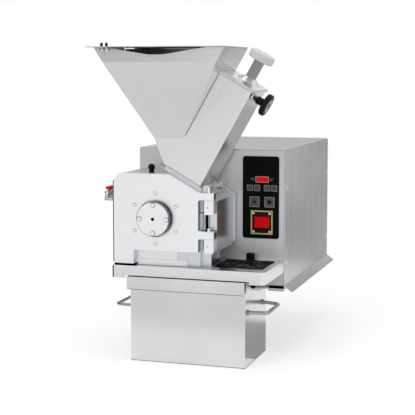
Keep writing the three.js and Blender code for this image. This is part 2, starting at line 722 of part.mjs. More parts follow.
const rotorY = [chamberY.front + rotor.endGap, chamberY.back - rotor.endGap];
function cuttingRotor() {
	const corners = [];
	for (let i = 0; i < rotor.blades; i += 1) {
		const start = i / rotor.blades * (Math.PI + Math.PI);
		const step = (Math.PI + Math.PI) / rotor.blades;
		const edge = Math.asin(rotor.bladeThick / rotor.blade);
		const polar = (radius, angle) => [radius * Math.cos(start + angle), radius * Math.sin(start + angle)];
		corners.push(polar(rotor.blade, 0), polar(rotor.blade - rotor.bladeThick * half, edge));
		corners.push(polar(rotor.core, edge + edge), polar(rotor.core, step * half));
		corners.push(polar(rotor.core - rotor.bladeThick * half, step - edge));
	}
	return cut(
		backward(outline(corners), rotorY).translate(axisX, 0, axisZ),
		rod('y', rotor.shaft + fit, [rotorY[0] - overrun, rotorY[1] + overrun], onAxis),
	);
}

const stubY = doorY.back - rotor.stubReach;
function rotorShaft() {
	const step = stubY + rotor.stubReach + rotor.endGap;
	const end = couplingMiddle - coupling.halfGap;
	const thin = rotor.stub;
	const rear = couplingY.front - coupling.chamfer;
	return turned([
		[0, stubY], [thin, stubY], [thin, step], [rotor.shaft, step], [rotor.shaft, rear],
		[motor.shaft, rear], [motor.shaft, end], [0, end],
	], 'y', onAxis);
}

const rearBearing = () => sleeve(
	'y', bearings.outer, rotor.shaft + fit, [adapterY.front + fit, adapterY.front + fit + bearings.width],
	onAxis,
);
const frontBearing = () => sleeve(
	'y', bearings.frontOuter, rotor.stub + rotor.stubClear,
	[doorY.back - bearings.frontWidth, doorY.back - fit], onAxis,
);

const sieveInner = rotor.blade + sieve.gap;
function sieveCassette() {
	const front = chamberY.front + fit;
	const back = chamberY.back - chamber.chuteWall - chamber.chuteWall - fit;
	const outerX = [axisX - sieve.halfWidth - sieve.sideWall, axisX + sieve.halfWidth + sieve.sideWall];
	const bottom = table.height + fit + fit;
	const top = axisZ - sieve.shoulder - fit;
	const walls = cut(
		block(outerX, [front, back], [bottom, top]),
		block(
			[axisX - sieve.halfWidth, axisX + sieve.halfWidth],
			[front + sieve.frontThick, back - sieve.frontThick],
			[bottom - overrun, top + overrun],
		),
	);
	const screen = common(
		rod('y', sieveInner + sieve.thick, [front, back], onAxis, sides.large),
		block(outerX, [front, back], [axisZ - sieveInner - sieve.thick - overrun, top]),
	);
	const barZ = [bottom, bottom + sieve.barHeight];
	const barX = [axisX - sieve.barLeft, axisX + sieve.barRight];
	const bar = block(barX, [doorY.back - sieve.barThick, doorY.back], barZ);
	const tongue = block(outerX, [doorY.back - sieve.barThick * half, front + sieve.frontThick], barZ);
	const knob = rod(
		'y', sieve.knobRadius,
		[doorY.back - sieve.barThick - sieve.knobLength, doorY.back - sieve.barThick * half],
		[barX[1] - sieve.knobFromEnd, 0, bottom + sieve.knobRise], sides.small,
	);
	const holes = [];
	for (let row = -2; row <= 2; row += 1) {
		for (let y = front + sieve.holePitch; y < back - sieve.holePitch; y += sieve.holePitch) {
			holes.push(block(
				[-sieve.holeAcross * half, sieve.holeAcross * half],
				[y - sieve.holeAlong * half, y + sieve.holeAlong * half],
				[-sieveInner - sieve.thick - overrun, -sieveInner + overrun],
			).rotateY(row * sieve.holeRow / sieveInner).translate(axisX, 0, axisZ));
		}
	}
	const inside = rod('y', sieveInner, [front + sieve.frontThick, back + overrun], onAxis, sides.large);
	return cut(join(walls, screen, bar, tongue, knob), inside, holes);
}

// Door and its hinge
const lugZ = {
	lower: [axisZ - door.lowerLug, axisZ - door.lowerLug + door.lugThick],
	upper: [axisZ + door.upperLug, slopeAt(doorX.right)],
};
const upperBlockZ = {
	top: lugZ.upper[0] - hinge.lift, bottom: lugZ.upper[0] - hinge.lift - hinge.blockHeight,
};
const lowerBlockZ = {
	top: lugZ.lower[0] - hinge.lift, bottom: lugZ.lower[0] - hinge.lift - hinge.blockHeight,
};

function doorPlate() {
	const foot = table.height + door.footClear;
	const lugEnd = doorX.hinge + door.lugReach;
	const [lowA, lowB] = lugZ.lower;
	const [highA, highB] = lugZ.upper;
	const notch = door.notchRadius;
	const lug = door.lugRadius;
	const shape = outline([
		[doorX.left, foot, lug], [doorX.left + door.footWidth, foot],
		[doorX.left + door.footWidth, chamberZ.bottom],
		[doorX.right, chamberZ.bottom], [doorX.right, lowA, notch], [lugEnd, lowA, lug], [lugEnd, lowB, lug],
		[doorX.right, lowB, notch], [doorX.right, highA, notch], [lugEnd, highA, lug], [lugEnd, highB, lug],
		[doorX.right, highB], [slopeCorner.x, slopeCorner.z], [doorX.left + door.chamferWidth, chamberZ.top],
		[doorX.left, chamberZ.top - door.chamferHeight, lug],
	]);
	return cut(
		backward(shape, [doorY.front, doorY.back]),
		rod(
			'y', cover.radius + cover.groove, [doorY.front - overrun, doorY.front + door.grooveDepth], onAxis,
			sides.large,
		),
		rod(
			'y', bearings.frontOuter + fit, [doorY.back - bearings.frontWidth - fit, doorY.back + overrun], onAxis,
		),
		rod('z', hinge.radius + fit, [lowA - overrun, lowB + overrun], [doorX.hinge, hingeY, 0], sides.medium),
		rod(
			'z', hinge.radius + fit, [highA - overrun, highB + overrun], [doorX.hinge, hingeY, 0], sides.medium,
		),
	);
}

function bearingCover() {
	const back = doorY.front + door.grooveDepth - fit;
	const front = doorY.front - cover.proud;
	const screws = [0, 1, 2, 3].map((i) => rod(
		'y', cover.screwRadius, [front - overrun, front + cover.screwDepth],
		[
			axisX + cover.screwCircle * Math.cos(i * quarterTurn), 0,
			axisZ + cover.screwCircle * Math.sin(i * quarterTurn),
		],
		sides.small,
	));
	return cut(
		turned([
			[0, front], [cover.radius - cover.edge, front], [cover.radius, front + cover.edge],
			[cover.radius, back], [0, back],
		], 'y', onAxis, sides.large),
		screws,
		rod('y', cover.hole, [front - overrun, front + cover.holeDepth], onAxis, sides.small),
	);
}

function hingeBlock({ top, bottom }, easeBottom) {
	const x = [doorX.hinge - hinge.blockLeft, doorX.hinge + hinge.blockRight];
	const ease = easeBottom ? hinge.cornerRadius : 0;
	const shape = outline(
		[[x[0], bottom, ease], [x[1], bottom, hinge.cornerRadius], [x[1], top], [x[0], top]]
	);
	const front = doorY.front + hinge.blockProud;
	return cut(
		backward(shape, [front, rabbetY - fit]),
		rod(
			'y', hinge.screwRadius, [front - overrun, front + hinge.screwDepth],
			[doorX.hinge, 0, (top + bottom) * half], sides.small,
		),
		rod(
			'z', hinge.radius + fit, [top - hinge.blindDepth, top + overrun], [doorX.hinge, hingeY, 0],
			sides.medium,
		),
	);
}

const hingePin = ({ top }, [, lugTop], rise) => rod(
	'z', hinge.radius, [top - hinge.blindDepth + fit, lugTop + rise], [doorX.hinge, hingeY, 0], sides.medium,
);

// Toggle clamp on the chamber's left side
const latchX = { wall: chamberX.left - fit, outer: chamberX.left - fit - latch.plate };
latchX.middle = latchX.outer - latch.armOut;
latchX.cheek = latchX.outer - latch.cheekOut;
const latchZ = { bottom: axisZ + latch.above, top: axisZ + latch.above + latch.height };
const latchY = {
	front: chamberY.front + latch.fromFront, back: chamberY.front + latch.fromFront + latch.length,
};
const armPivot = { y: latchY.front + latch.armPivotBack, z: latchZ.bottom + latch.armPivotUp };
const handlePivot = { y: latchY.front + latch.handlePivotBack, z: latchZ.bottom + latch.handlePivotUp };
const keeperY = doorY.front + keeper.fromFront;
const keeperX = { from: doorX.left - fit, to: latchX.middle - latch.armBar * half - keeper.past };
const keeperZ = latchZ.bottom + keeper.rise;

function latchBase() {
	const y = [latchY.front + latch.cheek, latchY.front + latch.cheek + latch.blockLength];
	const cheekX = [latchX.cheek - latch.cheek, latchX.cheek];
	const lipX = [cheekX[0] - latch.lip, latchX.cheek];
	const cheekTop = latchZ.bottom + latch.cheekHeight;
	const pins = [armPivot, handlePivot].map((pivot) => rod(
		'x', latch.pivot, [cheekX[0], latchX.outer], [0, pivot.y, pivot.z], sides.small,
	));
	return join(
		block([latchX.wall, latchX.outer], [latchY.front, latchY.back], [latchZ.bottom, latchZ.top]),
		block(
			[latchX.wall, latchX.outer - latch.blockOut], y, [latchZ.bottom, latchZ.bottom + latch.blockHeight],
		),
		block([latchX.wall, cheekX[0]], y, [latchZ.bottom, latchZ.bottom + latch.plate]),
		block(cheekX, y, [latchZ.bottom, cheekTop + latch.pivot + latch.pivot]),
		block(lipX, y, [latchZ.bottom, latchZ.bottom + latch.lipThick]),
		block(lipX, y, [cheekTop - latch.lipThick, cheekTop]),
		pins,
	);
}

// A flat bar with a round eye at its pivot, drawn on the side view
function lever(pivot, bars, thick) {
	const x = [latchX.middle - thick * half, latchX.middle + thick * half];
	const eye = rod('x', latch.eye, x, [0, pivot.y, pivot.z], sides.medium);
	const hole = rod(
		'x', latch.pivot + fit, [x[0] - overrun, x[1] + overrun], [0, pivot.y, pivot.z], sides.small,
	);
	return cut(join(eye, bars.map(([y, z]) => block(x, y, z))), hole);
}

const spindleZ = keeperZ + keeper.radius + fit;
function latchArm() {
	const bar = [armPivot.z - latch.eye * half, armPivot.z + latch.eye * half];
	const body = lever(armPivot, [[[keeperY - latch.spindlePad, armPivot.y], bar]], latch.armBar);
	const spindle = rod(
		'z', latch.spindle, [spindleZ, bar[1] + latch.nutThick], [latchX.middle, keeperY, 0], sides.small,
	);
	const pad = rod(
		'z', latch.spindlePad, [spindleZ, spindleZ + latch.spindle], [latchX.middle, keeperY, 0], sides.medium,
	);
	const nut = rod('z', latch.nut, [bar[1] - fit, bar[1] + latch.spindle], [latchX.middle, keeperY, 0], 6);
	return join(body, spindle, pad, nut);
}

const gripY = [handlePivot.y - latch.handleLength, handlePivot.y - latch.handleLength + latch.gripLength];
const gripZ = [handlePivot.z + latch.gripRise, handlePivot.z + latch.gripRise + latch.gripThick];
const tangZ = [
	gripZ[0] + (latch.gripThick - latch.handleBar) * half,
	gripZ[1] - (latch.gripThick - latch.handleBar) * half,
];
const latchHandle = () => lever(handlePivot, [
	[[gripY[0] + latch.eye, handlePivot.y], tangZ],
	[[handlePivot.y - latch.eye * half, handlePivot.y + latch.eye * half], [handlePivot.z, tangZ[1]]],
], latch.handleBar);
function latchGrip() {
	const tang = latch.handleBar * half + fit;
	return cut(
		rightward(
			rectangle(gripY, gripZ, latch.gripThick * half),
			[latchX.middle - latch.gripWidth * half, latchX.middle + latch.gripWidth * half],
		),
		block(
			[latchX.middle - tang, latchX.middle + tang], [gripY[0] + latch.eye - fit, gripY[1] + overrun],
			[tangZ[0] - fit, tangZ[1] + fit],
		),
	);
}

const latchKeeper = () => join(
	rod('x', keeper.radius, [keeperX.to, keeperX.from], [0, keeperY, keeperZ], sides.medium),
	rod(
		'x', keeper.baseRadius, [keeperX.from - keeper.baseThick, keeperX.from], [0, keeperY, keeperZ],
		sides.medium,
	),
);

const ballPlace = () => [axisX - ballKnob.fromAxis, chamberY.front + ballKnob.fromFront];
function clampKnob() {
	const base = chamberZ.top + fit;
	const centre = base + ballKnob.neckHeight + ballKnob.ball - fit;
	const arc = Array.from({ length: sides.small * half }, (_, i) => {
		const angle = (i + 1) / (sides.small * half) * (quarterTurn + quarterTurn * half) - quarterTurn * half;
		return [ballKnob.ball * Math.cos(angle), centre + ballKnob.ball * Math.sin(angle)];
	});
	arc[arc.length - 1][0] = 0;
	return turned([
		[0, base - ballKnob.stemDepth], [ballKnob.stem, base - ballKnob.stemDepth], [ballKnob.stem, base],
		[ballKnob.neck + ballKnob.stem * half, base], [ballKnob.neck, base + ballKnob.neckHeight], ...arc,
	], 'z', [...ballPlace(), 0]);
}

// Hopper
const hingeS = tiltHinge.along;
const hingeH = tiltHinge.above;
const flangeY = { front: chamberY.front + flange.front, back: chamberY.back - flange.back };
const feedHole = (h) => inChute(block([feedS.left, feedS.right], [feedY.front, feedY.back], h));
const pinHole = (radius, y) => inChute(rod('y', radius, y, [hingeS, 0, hingeH], sides.medium));

function hingeEar(y, eye, base, left) {
	return [
		inChute(rod('y', eye, y, [hingeS, 0, hingeH], sides.medium)),
		inChute(block([left, hingeS + (left < hingeS - eye ? 0 : eye)], y, base)),
	];
}

function chamberFlange() {
	const front = [rabbetY, rabbetY + tiltHinge.endEar];
	const back = [flangeY.back - tiltHinge.endEar, flangeY.back];
	const rise = [flangeH.split - flange.lower * half, hingeH];
	const swing = block(
		[doorX.right, doorX.right + flange.lowerRight], [flangeY.front - overrun, rabbetY],
		[chamberZ.bottom, chamberZ.top],
	);
	return cut(
		join(
			inChute(
				block(
					[-flange.left, flange.lowerRight], [flangeY.front, flangeY.back], [flangeH.lower, flangeH.split],
				)
			),
			hingeEar(front, tiltHinge.eye, rise, hingeS - tiltHinge.eye),
			hingeEar(back, tiltHinge.eye, rise, hingeS - tiltHinge.eye),
		),
		feedHole([flangeH.lower - overrun, flangeH.split + overrun]),
		swing,
		pinHole(tiltHinge.pin + fit, [flangeY.front - overrun, flangeY.back + overrun]),
	);
}

const lugSpans = [
	[
		rabbetY + tiltHinge.endEar + tiltHinge.midInset,
		rabbetY + tiltHinge.endEar + tiltHinge.midInset + tiltHinge.midLug,
	],
	[
		flangeY.back - tiltHinge.endEar - tiltHinge.midInset - tiltHinge.midLug,
		flangeY.back - tiltHinge.endEar - tiltHinge.midInset,
	],
];
function hopperFlange() {
	const h = [flangeH.split + fit, flangeH.upper];
	const arm = [h[0], hingeH];
	return cut(
		join(
			inChute(block([-flange.left, flange.upperRight], [flangeY.front, flangeY.back], h)),
			lugSpans.map((y) => hingeEar(y, tiltHinge.eye - fit, arm, flange.upperRight - tiltHinge.armInset)),
		),
		inChute(
			block(
				[ductS.left + sheet.hopper, feedS.right], [feedY.front, feedY.back], [h[0] - overrun, h[1] + overrun],
			)
		),
		pinHole(tiltHinge.pin + running, [flangeY.front - overrun, flangeY.back + overrun]),
	);
}

const tiltPin = () => inChute(turned([
	[0, rabbetY], [tiltHinge.pin, rabbetY], [tiltHinge.pin, flangeY.back + fit],
	[tiltHinge.head, flangeY.back + fit], [tiltHinge.head, flangeY.back + fit + tiltHinge.headThick],
	[0, flangeY.back + fit + tiltHinge.headThick],
], 'y', [hingeS, 0, hingeH], sides.small));

// Heights of the funnel's levels, and its right wall, which is the duct's left one
const funnelZ = {
	foot: slopeCorner.z + funnel.footRise, throat: slopeCorner.z + funnel.throat,
	band: slopeCorner.z + funnel.height - funnel.band, rim: slopeCorner.z + funnel.height,
};
const mouthFront = ductY.front - funnel.frontOverhang;
function funnelLevels(inset) {
	const wall = inset ? 0 : sheet.hopper;
	const level = (z, width, front) => {
		const right = chuteX(ductS.left + wall, z);
		const left = chuteX(ductS.left, z) - width + inset / Math.cos(tilt);
		return [left, right, front + inset, ductY.back - inset, z];
	};
	return [
		level(funnelZ.foot, funnel.footWidth, ductY.front),
		level(funnelZ.throat, funnel.throatWidth, ductY.front),
		level(funnelZ.band, funnel.bandWidth, mouthFront), level(funnelZ.rim, funnel.mouthWidth, mouthFront),
	];
}

const ductTop = duct.height;
const lidHinge = { y: ductY.back + lid.behind, z: funnelZ.rim + fit - lid.drop };
const lidX = { right: chuteX(ductS.left + sheet.hopper, funnelZ.rim) };
lidX.left = chuteX(ductS.left, funnelZ.rim) - funnel.mouthWidth - lid.left;
const lidKnuckles = [
	[lidX.left + lid.left + lid.fromEdge, lidX.left + lid.left + lid.fromEdge + lid.knuckleLength],
	[lidX.right - lid.fromEdge - lid.knuckleLength, lidX.right - lid.fromEdge],
];
const lidEars = lidKnuckles.flatMap(([from, to]) => [
	[from - fit - lid.earLength, from - fit], [to + fit, to + fit + lid.earLength],
]);

const boltHole = (radius, s) => inChute(rod(
	'x', radius, s, [0, ductY.front + index.across, ductTop - index.fromTop], sides.medium,
));

function hopper() {
	const outer = funnelLevels(0);
	const inner = funnelLevels(sheet.hopper);
	inner[0][4] += sheet.hopper;
	inner[3][4] += overrun;
	const wallS = [ductS.left, ductS.left + sheet.hopper];
	const insideY = [ductY.front + sheet.hopper, ductY.back - sheet.hopper];
	const tube = inChute(
		block([ductS.left, ductS.right], [ductY.front, ductY.back], [flangeH.upper + fit, ductTop])
	);
	const tubeHole = inChute(block([wallS[1], ductS.right - sheet.hopper], insideY, [0, ductTop + overrun]));
	const opening = inChute(block([wallS[0] - fit, wallS[1] + fit], insideY, [flangeH.upper, duct.opening]));
	const left = outer[3][0];
	const dip = backward(outline([
		[left + funnel.dipLeft, funnelZ.rim + overrun], [left + funnel.dipLeft, funnelZ.rim],
		[left + funnel.dipFlatLeft, funnelZ.rim - funnel.dipDepth],
		[left + funnel.dipFlatRight, funnelZ.rim - funnel.dipDepth],
		[left + funnel.dipRight, funnelZ.rim], [left + funnel.dipRight, funnelZ.rim + overrun],
	]), [mouthFront - overrun, mouthFront + sheet.hopper + sheet.hopper]);
	const below = inChute(block(
		[-duct.width - duct.width, duct.width + duct.width], [ductY.front - overrun, ductY.back + overrun],
		[-duct.width, flangeH.upper + fit],
	));
	const ears = lidEars.map((x) => join(
		rod('x', lid.knuckle, x, [0, lidHinge.y, lidHinge.z], sides.small),
		block(x, [ductY.back - sheet.hopper, lidHinge.y], [lidHinge.z - lid.knuckle, lidHinge.z]),
	));
	const boss = boltHole(index.boss, [ductS.right - sheet.hopper, ductS.right + index.bossLength]);
	const pin = rod(
		'x', lid.pin, [lidEars[0][0], lidEars.at(-1)[1]], [0, lidHinge.y, lidHinge.z], sides.small,
	);
	return cut(
		join(cut(join(stack(outer), tube, boss), stack(inner), tubeHole, below, opening), ears, pin),
		dip,
		boltHole(index.pin + fit, [ductS.right - overrun, ductS.right + index.bossLength + overrun]),
	);
}

const lidZ = [funnelZ.rim + fit, funnelZ.rim + fit + lid.thick];
const lidFront = mouthFront - lid.front;
const lidBoltY = lidFront + lidBolt.fromFront;
const lidBoltX = [lidX.left + lidBolt.fromLeft, lidX.left + lidBolt.fromLeft + lidBolt.apart];
const lidBoltHoles = (z) => lidBoltX.map(
	(x) => rod('z', lidBolt.radius + fit, z, [x, lidBoltY, 0], sides.small)
);

function hopperLid() {
	const knuckles = lidKnuckles.flatMap((x) => [
		rod('x', lid.knuckle, x, [0, lidHinge.y, lidHinge.z], sides.small),
		block(x, [ductY.back - sheet.hopper, lidHinge.y], lidZ),
	]);
	return cut(
		join(block([lidX.left, lidX.right], [lidFront, ductY.back - lid.back], lidZ), knuckles),
		rod(
			'x', lid.pin + fit, [lidX.left - overrun, lidX.right + overrun], [0, lidHinge.y, lidHinge.z],
			sides.small,
		),
		lidBoltHoles([lidZ[0] - overrun, lidZ[1] + overrun]),
	);
}

// Plunger
const rodPlace = [plunger.rodAlong, ductY.back - plunger.rodAcross, 0];
const plungerH = { bottom: flangeH.upper + plunger.start };
plungerH.top = plungerH.bottom + plunger.height;
const capH = { bottom: ductTop + fit, top: ductTop + fit + plunger.cap };

function ductCap() {
	const x = [ductS.left + sheet.hopper + fit, ductS.right + plunger.capOver];
	const plate = inChute(
		block(x, [ductY.front - plunger.capOver, ductY.back + plunger.capOver], [capH.bottom, capH.top])
	);
	const boss = inChute(turned([
		[0, capH.top - plunger.cap * half], [plunger.boss, capH.top - plunger.cap * half],
		[plunger.boss, capH.top],
		[plunger.bossTop, capH.top + plunger.bossHeight], [0, capH.top + plunger.bossHeight],
	], 'z', rodPlace));
	const slot = [x[0] + plunger.slotFromLeft, x[0] + plunger.slotFromLeft + plunger.slotLength];
	return cut(
		join(plate, boss),
		inChute(
			rod(
				'z', plunger.rod + running, [capH.bottom - overrun, capH.top + plunger.bossHeight + overrun],
				rodPlace,
			)
		),
		inChute(
			block(
				slot, [ductY.front + plunger.capOver, ductY.front + plunger.capOver + plunger.slotWidth],
				[capH.top - plunger.slotWidth, capH.top + overrun],
			)
		),
	);
}

function plungerBlock() {
	const x = [ductS.left + sheet.hopper + plunger.clear, ductS.right - sheet.hopper - plunger.clear];
	const y = [ductY.front + sheet.hopper + plunger.clear, ductY.back - sheet.hopper - plunger.clear];
	return join(
		inChute(block(x, y, [plungerH.bottom, plungerH.top])),
		inChute(rod('z', plunger.rod, [plungerH.top - overrun, plunger.rodAbove], rodPlace)),
	);
}

function plungerKnob() {
	const base = plunger.rodAbove + fit;
	const top = base + plunger.knobThick;
	const edge = plunger.knobRound;
	const eased = edge * (1 - Math.SQRT1_2);
	return inChute(turned([
		[0, base], [plunger.knob - edge * half, base], [plunger.knob, base + edge * half],
		[plunger.knob, top - edge], [plunger.knob - eased, top - eased], [plunger.knob - edge, top], [0, top],
	], 'z', rodPlace, sides.medium));
}

// Index bolt near the duct's top, with its spring outside
const indexPlace = [0, ductY.front + index.across, ductTop - index.fromTop];
const boltS = { spring: ductS.right + index.bossLength + fit };
boltS.collar = boltS.spring + index.springLength + fit;
boltS.neck = boltS.collar + index.collarLength;
boltS.knob = boltS.neck + index.neckLength;

function indexKnob() {
	const end = boltS.knob + index.knobThick;
	const edge = index.knobRound;
	const inner = ductS.right - sheet.hopper - index.inside;
	return inChute(geometryOf(cut(
		turned([
			[0, inner], [index.pin, inner], [index.pin, boltS.collar], [index.collar, boltS.collar],
			[index.collar, boltS.neck], [index.neck, boltS.neck], [index.neck, boltS.knob],
			[index.knob - edge, boltS.knob], [index.knob, boltS.knob + edge], [index.knob, end - edge],
			[index.knob - edge, end], [index.faceRing, end], [index.faceRing, end - edge * half],
			[0, end - edge * half],
		], 'x', indexPlace),
		rod('x', index.nutHole, [end - index.nutDepth, end + overrun], indexPlace, 6),
	)));
}

// One unbroken wire wound about the bolt, with both ends led out straight for one wire width
function indexSpring() {
	const wireWidth = coil.wire + coil.wire;
	const turns = coil.turns * coil.steps;
	const length = index.springLength - wireWidth - wireWidth;
	const centres = [];
	const at = (along, angle) => centres.push(new THREE.Vector3(
		boltS.spring + along, indexPlace[1] + coil.radius * Math.cos(angle),
		indexPlace[2] + coil.radius * Math.sin(angle),
	));
	at(0, 0);
	for (let i = 0; i <= turns; i += 1) {
		at(wireWidth + length * i / turns, i / coil.steps * (Math.PI + Math.PI));
	}
	at(index.springLength, coil.turns * (Math.PI + Math.PI));
	const count = centres.length - 1;
	let least = Infinity;
	centres.forEach((a, i) => centres.slice(i + coil.steps - 1).forEach((b) => {
		least = Math.min(least, a.distanceTo(b) - wireWidth);
	}));
	console.log(`index spring: least gap to itself ${least.toFixed(2)} mm`);
	const points = [];
	centres.forEach((centre, i) => {
		const before = centres[Math.max(i - 1, 0)];
		const after = centres[Math.min(i + 1, count)];
		const along = i === 0 || i === count
			? new THREE.Vector3(1, 0, 0)
			: after.clone().sub(before).normalize();
		const out = new THREE.Vector3(0, centre.y - indexPlace[1], centre.z - indexPlace[2]).normalize();
		const side = new THREE.Vector3().crossVectors(along, out).normalize();
		const lift = new THREE.Vector3().crossVectors(side, along);
		for (let j = 0; j < coil.ring; j += 1) {
			const angle = j / coil.ring * (Math.PI + Math.PI);
			points.push(...centre.clone()
				.addScaledVector(lift, coil.wire * Math.cos(angle))
				.addScaledVector(side, coil.wire * Math.sin(angle)).toArray());
		}
	});
	const faces = [];
	const ring = coil.ring;
	for (let i = 0; i < count; i += 1) {
		for (let j = 0; j < ring; j += 1) {
			const a = i * ring + j;
			const b = i * ring + (j + 1) % ring;
			faces.push(a, b, a + ring, b, b + ring, a + ring);
		}
	}
	for (let j = 1; j < ring - 1; j += 1) {
		faces.push(0, j + 1, j);
		faces.push(count * ring, count * ring + j, count * ring + j + 1);
	}
	const geometry = new THREE.BufferGeometry();
	geometry.setAttribute('position', new THREE.Float32BufferAttribute(points, 3));
	geometry.setIndex(faces);
	return inChute(geometry);
}

// Table, rails and vessel
const tableX = [-sideX + table.sideMargin, sideX - table.sideMargin];
const tableBottom = table.height - table.apron;

function tableTop() {
	const plan = outline([
		[tableX[0], -table.depth], [tableX[1] - table.cornerCut, -table.depth],
		[tableX[1], -table.depth + table.cornerCut],
		[tableX[1], -fit], [tableX[0], -fit],
	]);
	const s = sheet.table;
	const inner = outline([
		[tableX[0] + s, -table.depth + s], [tableX[1] - s - table.cornerCut, -table.depth + s],
		[tableX[1] - s, -table.depth + table.cornerCut + s], [tableX[1] - s, overrun], [tableX[0] + s, overrun],
	]);
	const notch = block(
		[vesselX.left - vessel.rimWidth - table.notchLeft, vesselX.right + vessel.rimWidth + table.notchRight],
		[-table.depth - overrun, -table.depth + s + overrun],
		[tableBottom - overrun, tableBottom + table.notchHeight],
	);
	return cut(
		upward(plan, [tableBottom, table.height]),
		upward(inner, [tableBottom - overrun, table.height - s]),
		notch,
		block(
			[axisX - sieve.halfWidth, axisX + sieve.halfWidth],
			[chamberY.front + table.openingFront, chamberY.back - table.openingBack],
			[tableBottom, table.height + overrun],
		),
		rod('z', tableKnob.stem + fit, [tableBottom, table.height + overrun], [...knobPlace, 0], sides.small),
	);
}

const knobPlace = [sideX - tableKnob.fromRight, -tableKnob.fromBack];
const tableClampKnob = () => turned([
	[0, table.height - sheet.table - fit - tableKnob.stem],
	[tableKnob.stem, table.height - sheet.table - fit - tableKnob.stem],
	[tableKnob.stem, table.height + fit], [tableKnob.radius - fit, table.height + fit],
	[tableKnob.radius, table.height + tableKnob.stem],
	[tableKnob.radius, table.height + tableKnob.height - tableKnob.stem * half],
	[tableKnob.radius - tableKnob.stem * half, table.height + tableKnob.height],
	[0, table.height + tableKnob.height],
], 'z', [...knobPlace, 0]);

const matLeft = axisX + chamber.footRight + mat.fromFoot;
const tableMat = () => block(
	[matLeft, matLeft + mat.width],
	[-table.depth + mat.front, knobPlace[1] - tableKnob.radius - mat.fromKnob],
	[table.height + fit, table.height + fit + mat.thick],
);

const railTop = table.height - sheet.table - fit;
const rimZ = [vesselZ.top - vessel.rimBelow - sheet.vessel, vesselZ.top - vessel.rimBelow];
const ledgeZ = [rimZ[0] - fit - sheet.rail, rimZ[0] - fit];
// Both runners under the table, tied together across the back
function vesselRails() {
	const y = [-table.depth + rail.front, -fit - sheet.rail];
	const runner = (side) => {
		const body = side > 0 ? vesselX.right : vesselX.left;
		const web = body + side * (vessel.rimWidth + rail.clear);
		return backward(outline([
			[body + side * rail.bodyClear, ledgeZ[0]], [web + side * sheet.rail, ledgeZ[0]],
			[web + side * sheet.rail, railTop - sheet.rail], [web + side * rail.topFlange, railTop - sheet.rail],
			[web + side * rail.topFlange, railTop], [web, railTop], [web, ledgeZ[1]],
			[body + side * rail.bodyClear, ledgeZ[1]],
		]), y);
	};
	const tie = block([bay.left, bay.right], [y[1] - rail.tie, y[1]], [railTop - sheet.rail, railTop]);
	return cut(
		join(runner(-1), runner(1), tie),
		rod('z', tableKnob.stem + fit, [railTop - overrun, railTop + overrun], [...knobPlace, 0], sides.small),
	);
}

function collectingVessel() {
	const x = [vesselX.left, vesselX.right];
	const y = [vesselY.front, vesselY.back];
	const s = sheet.vessel;
	const grown = (grow) => rectangle(
		[x[0] - grow, x[1] + grow], [y[0] - grow, y[1] + grow], vessel.cornerRadius,
	);
	const body = upward(grown(0), [vesselZ.bottom, rimZ[1]]);
	const hollow = upward(grown(-s), [vesselZ.bottom + s, rimZ[1] + overrun]);
	const rims = [
		block([x[0] - vessel.rimWidth, x[0] + s], y, rimZ), block([x[1] - s, x[1] + vessel.rimWidth], y, rimZ),
	];
	const hemX = [x[0] - vessel.hemSide, x[1] + vessel.hemSide];
	const hemFront = vesselY.front - vessel.hemDepth;
	const hem = cut(
		block(hemX, [hemFront, vesselY.front + s], [vesselZ.top - vessel.hemHeight, vesselZ.top]),
		block(
			[hemX[0] - overrun, hemX[1] + overrun], [hemFront + s, vesselY.front],
			[vesselZ.top - vessel.hemHeight - overrun, vesselZ.top - s],
		),
	);
	return join(
		cut(join(body, rims), hollow),
		cut(hem, block([x[0] + s, x[1] - s], [y[0] + s, y[1]], [vesselZ.bottom, vesselZ.top + overrun])),
	);
}

const handleZ = vesselZ.top - handle.below;
function vesselHandle(side) {
	const wall = (side > 0 ? vesselX.right : vesselX.left) + side * fit;
	const out = wall + side * handle.reach;
	const front = vesselY.front + handle.front;
	const back = vesselY.back - handle.back;
	const path = new THREE.CurvePath();
	const at = (x, y) => new THREE.Vector3(x, y, handleZ);
	const corner = [at(out, front + handle.splay), at(out, back - handle.splay * 2)];
	const foot = [at(wall, front), at(wall, back)];
	const toward = (from, to) => to.clone().sub(from).setLength(handle.bend).add(from);
	const a = toward(corner[0], foot[0]);
	const b = toward(corner[0], corner[1]);
	const c = toward(corner[1], corner[0]);
	const d = toward(corner[1], foot[1]);
	path.add(new THREE.LineCurve3(foot[0], a));
	path.add(new THREE.QuadraticBezierCurve3(a, corner[0], b));
	path.add(new THREE.LineCurve3(b, c));
	path.add(new THREE.QuadraticBezierCurve3(c, corner[1], d));
	path.add(new THREE.LineCurve3(d, foot[1]));
	const bosses = foot.map((point) => rod(
		'x', handle.boss, [wall, wall + side * handle.bossThick], [0, point.y, point.z], sides.small,
	));
	const inside = block(
		[wall, wall - side * handle.reach], [front - handle.reach, back + handle.reach],
		[handleZ - handle.reach, handleZ + handle.reach],
	);
	return cut(join(wire(path, handle.wire, handle.steps), bosses), inside);
}

const lockPlace = [tableX[1] - lockKnob.fromRight, -table.depth + lockKnob.fromFront, 0];
function vesselLockKnob() {
	const top = tableBottom - fit;
	return turned([
		[0, top - lockKnob.height], [lockKnob.radius * half, top - lockKnob.height],
		[lockKnob.radius, top - lockKnob.height * half], [lockKnob.radius, top], [lockKnob.stem, top],
		[lockKnob.stem, railTop], [0, railTop],
	], 'z', lockPlace, sides.medium);
}

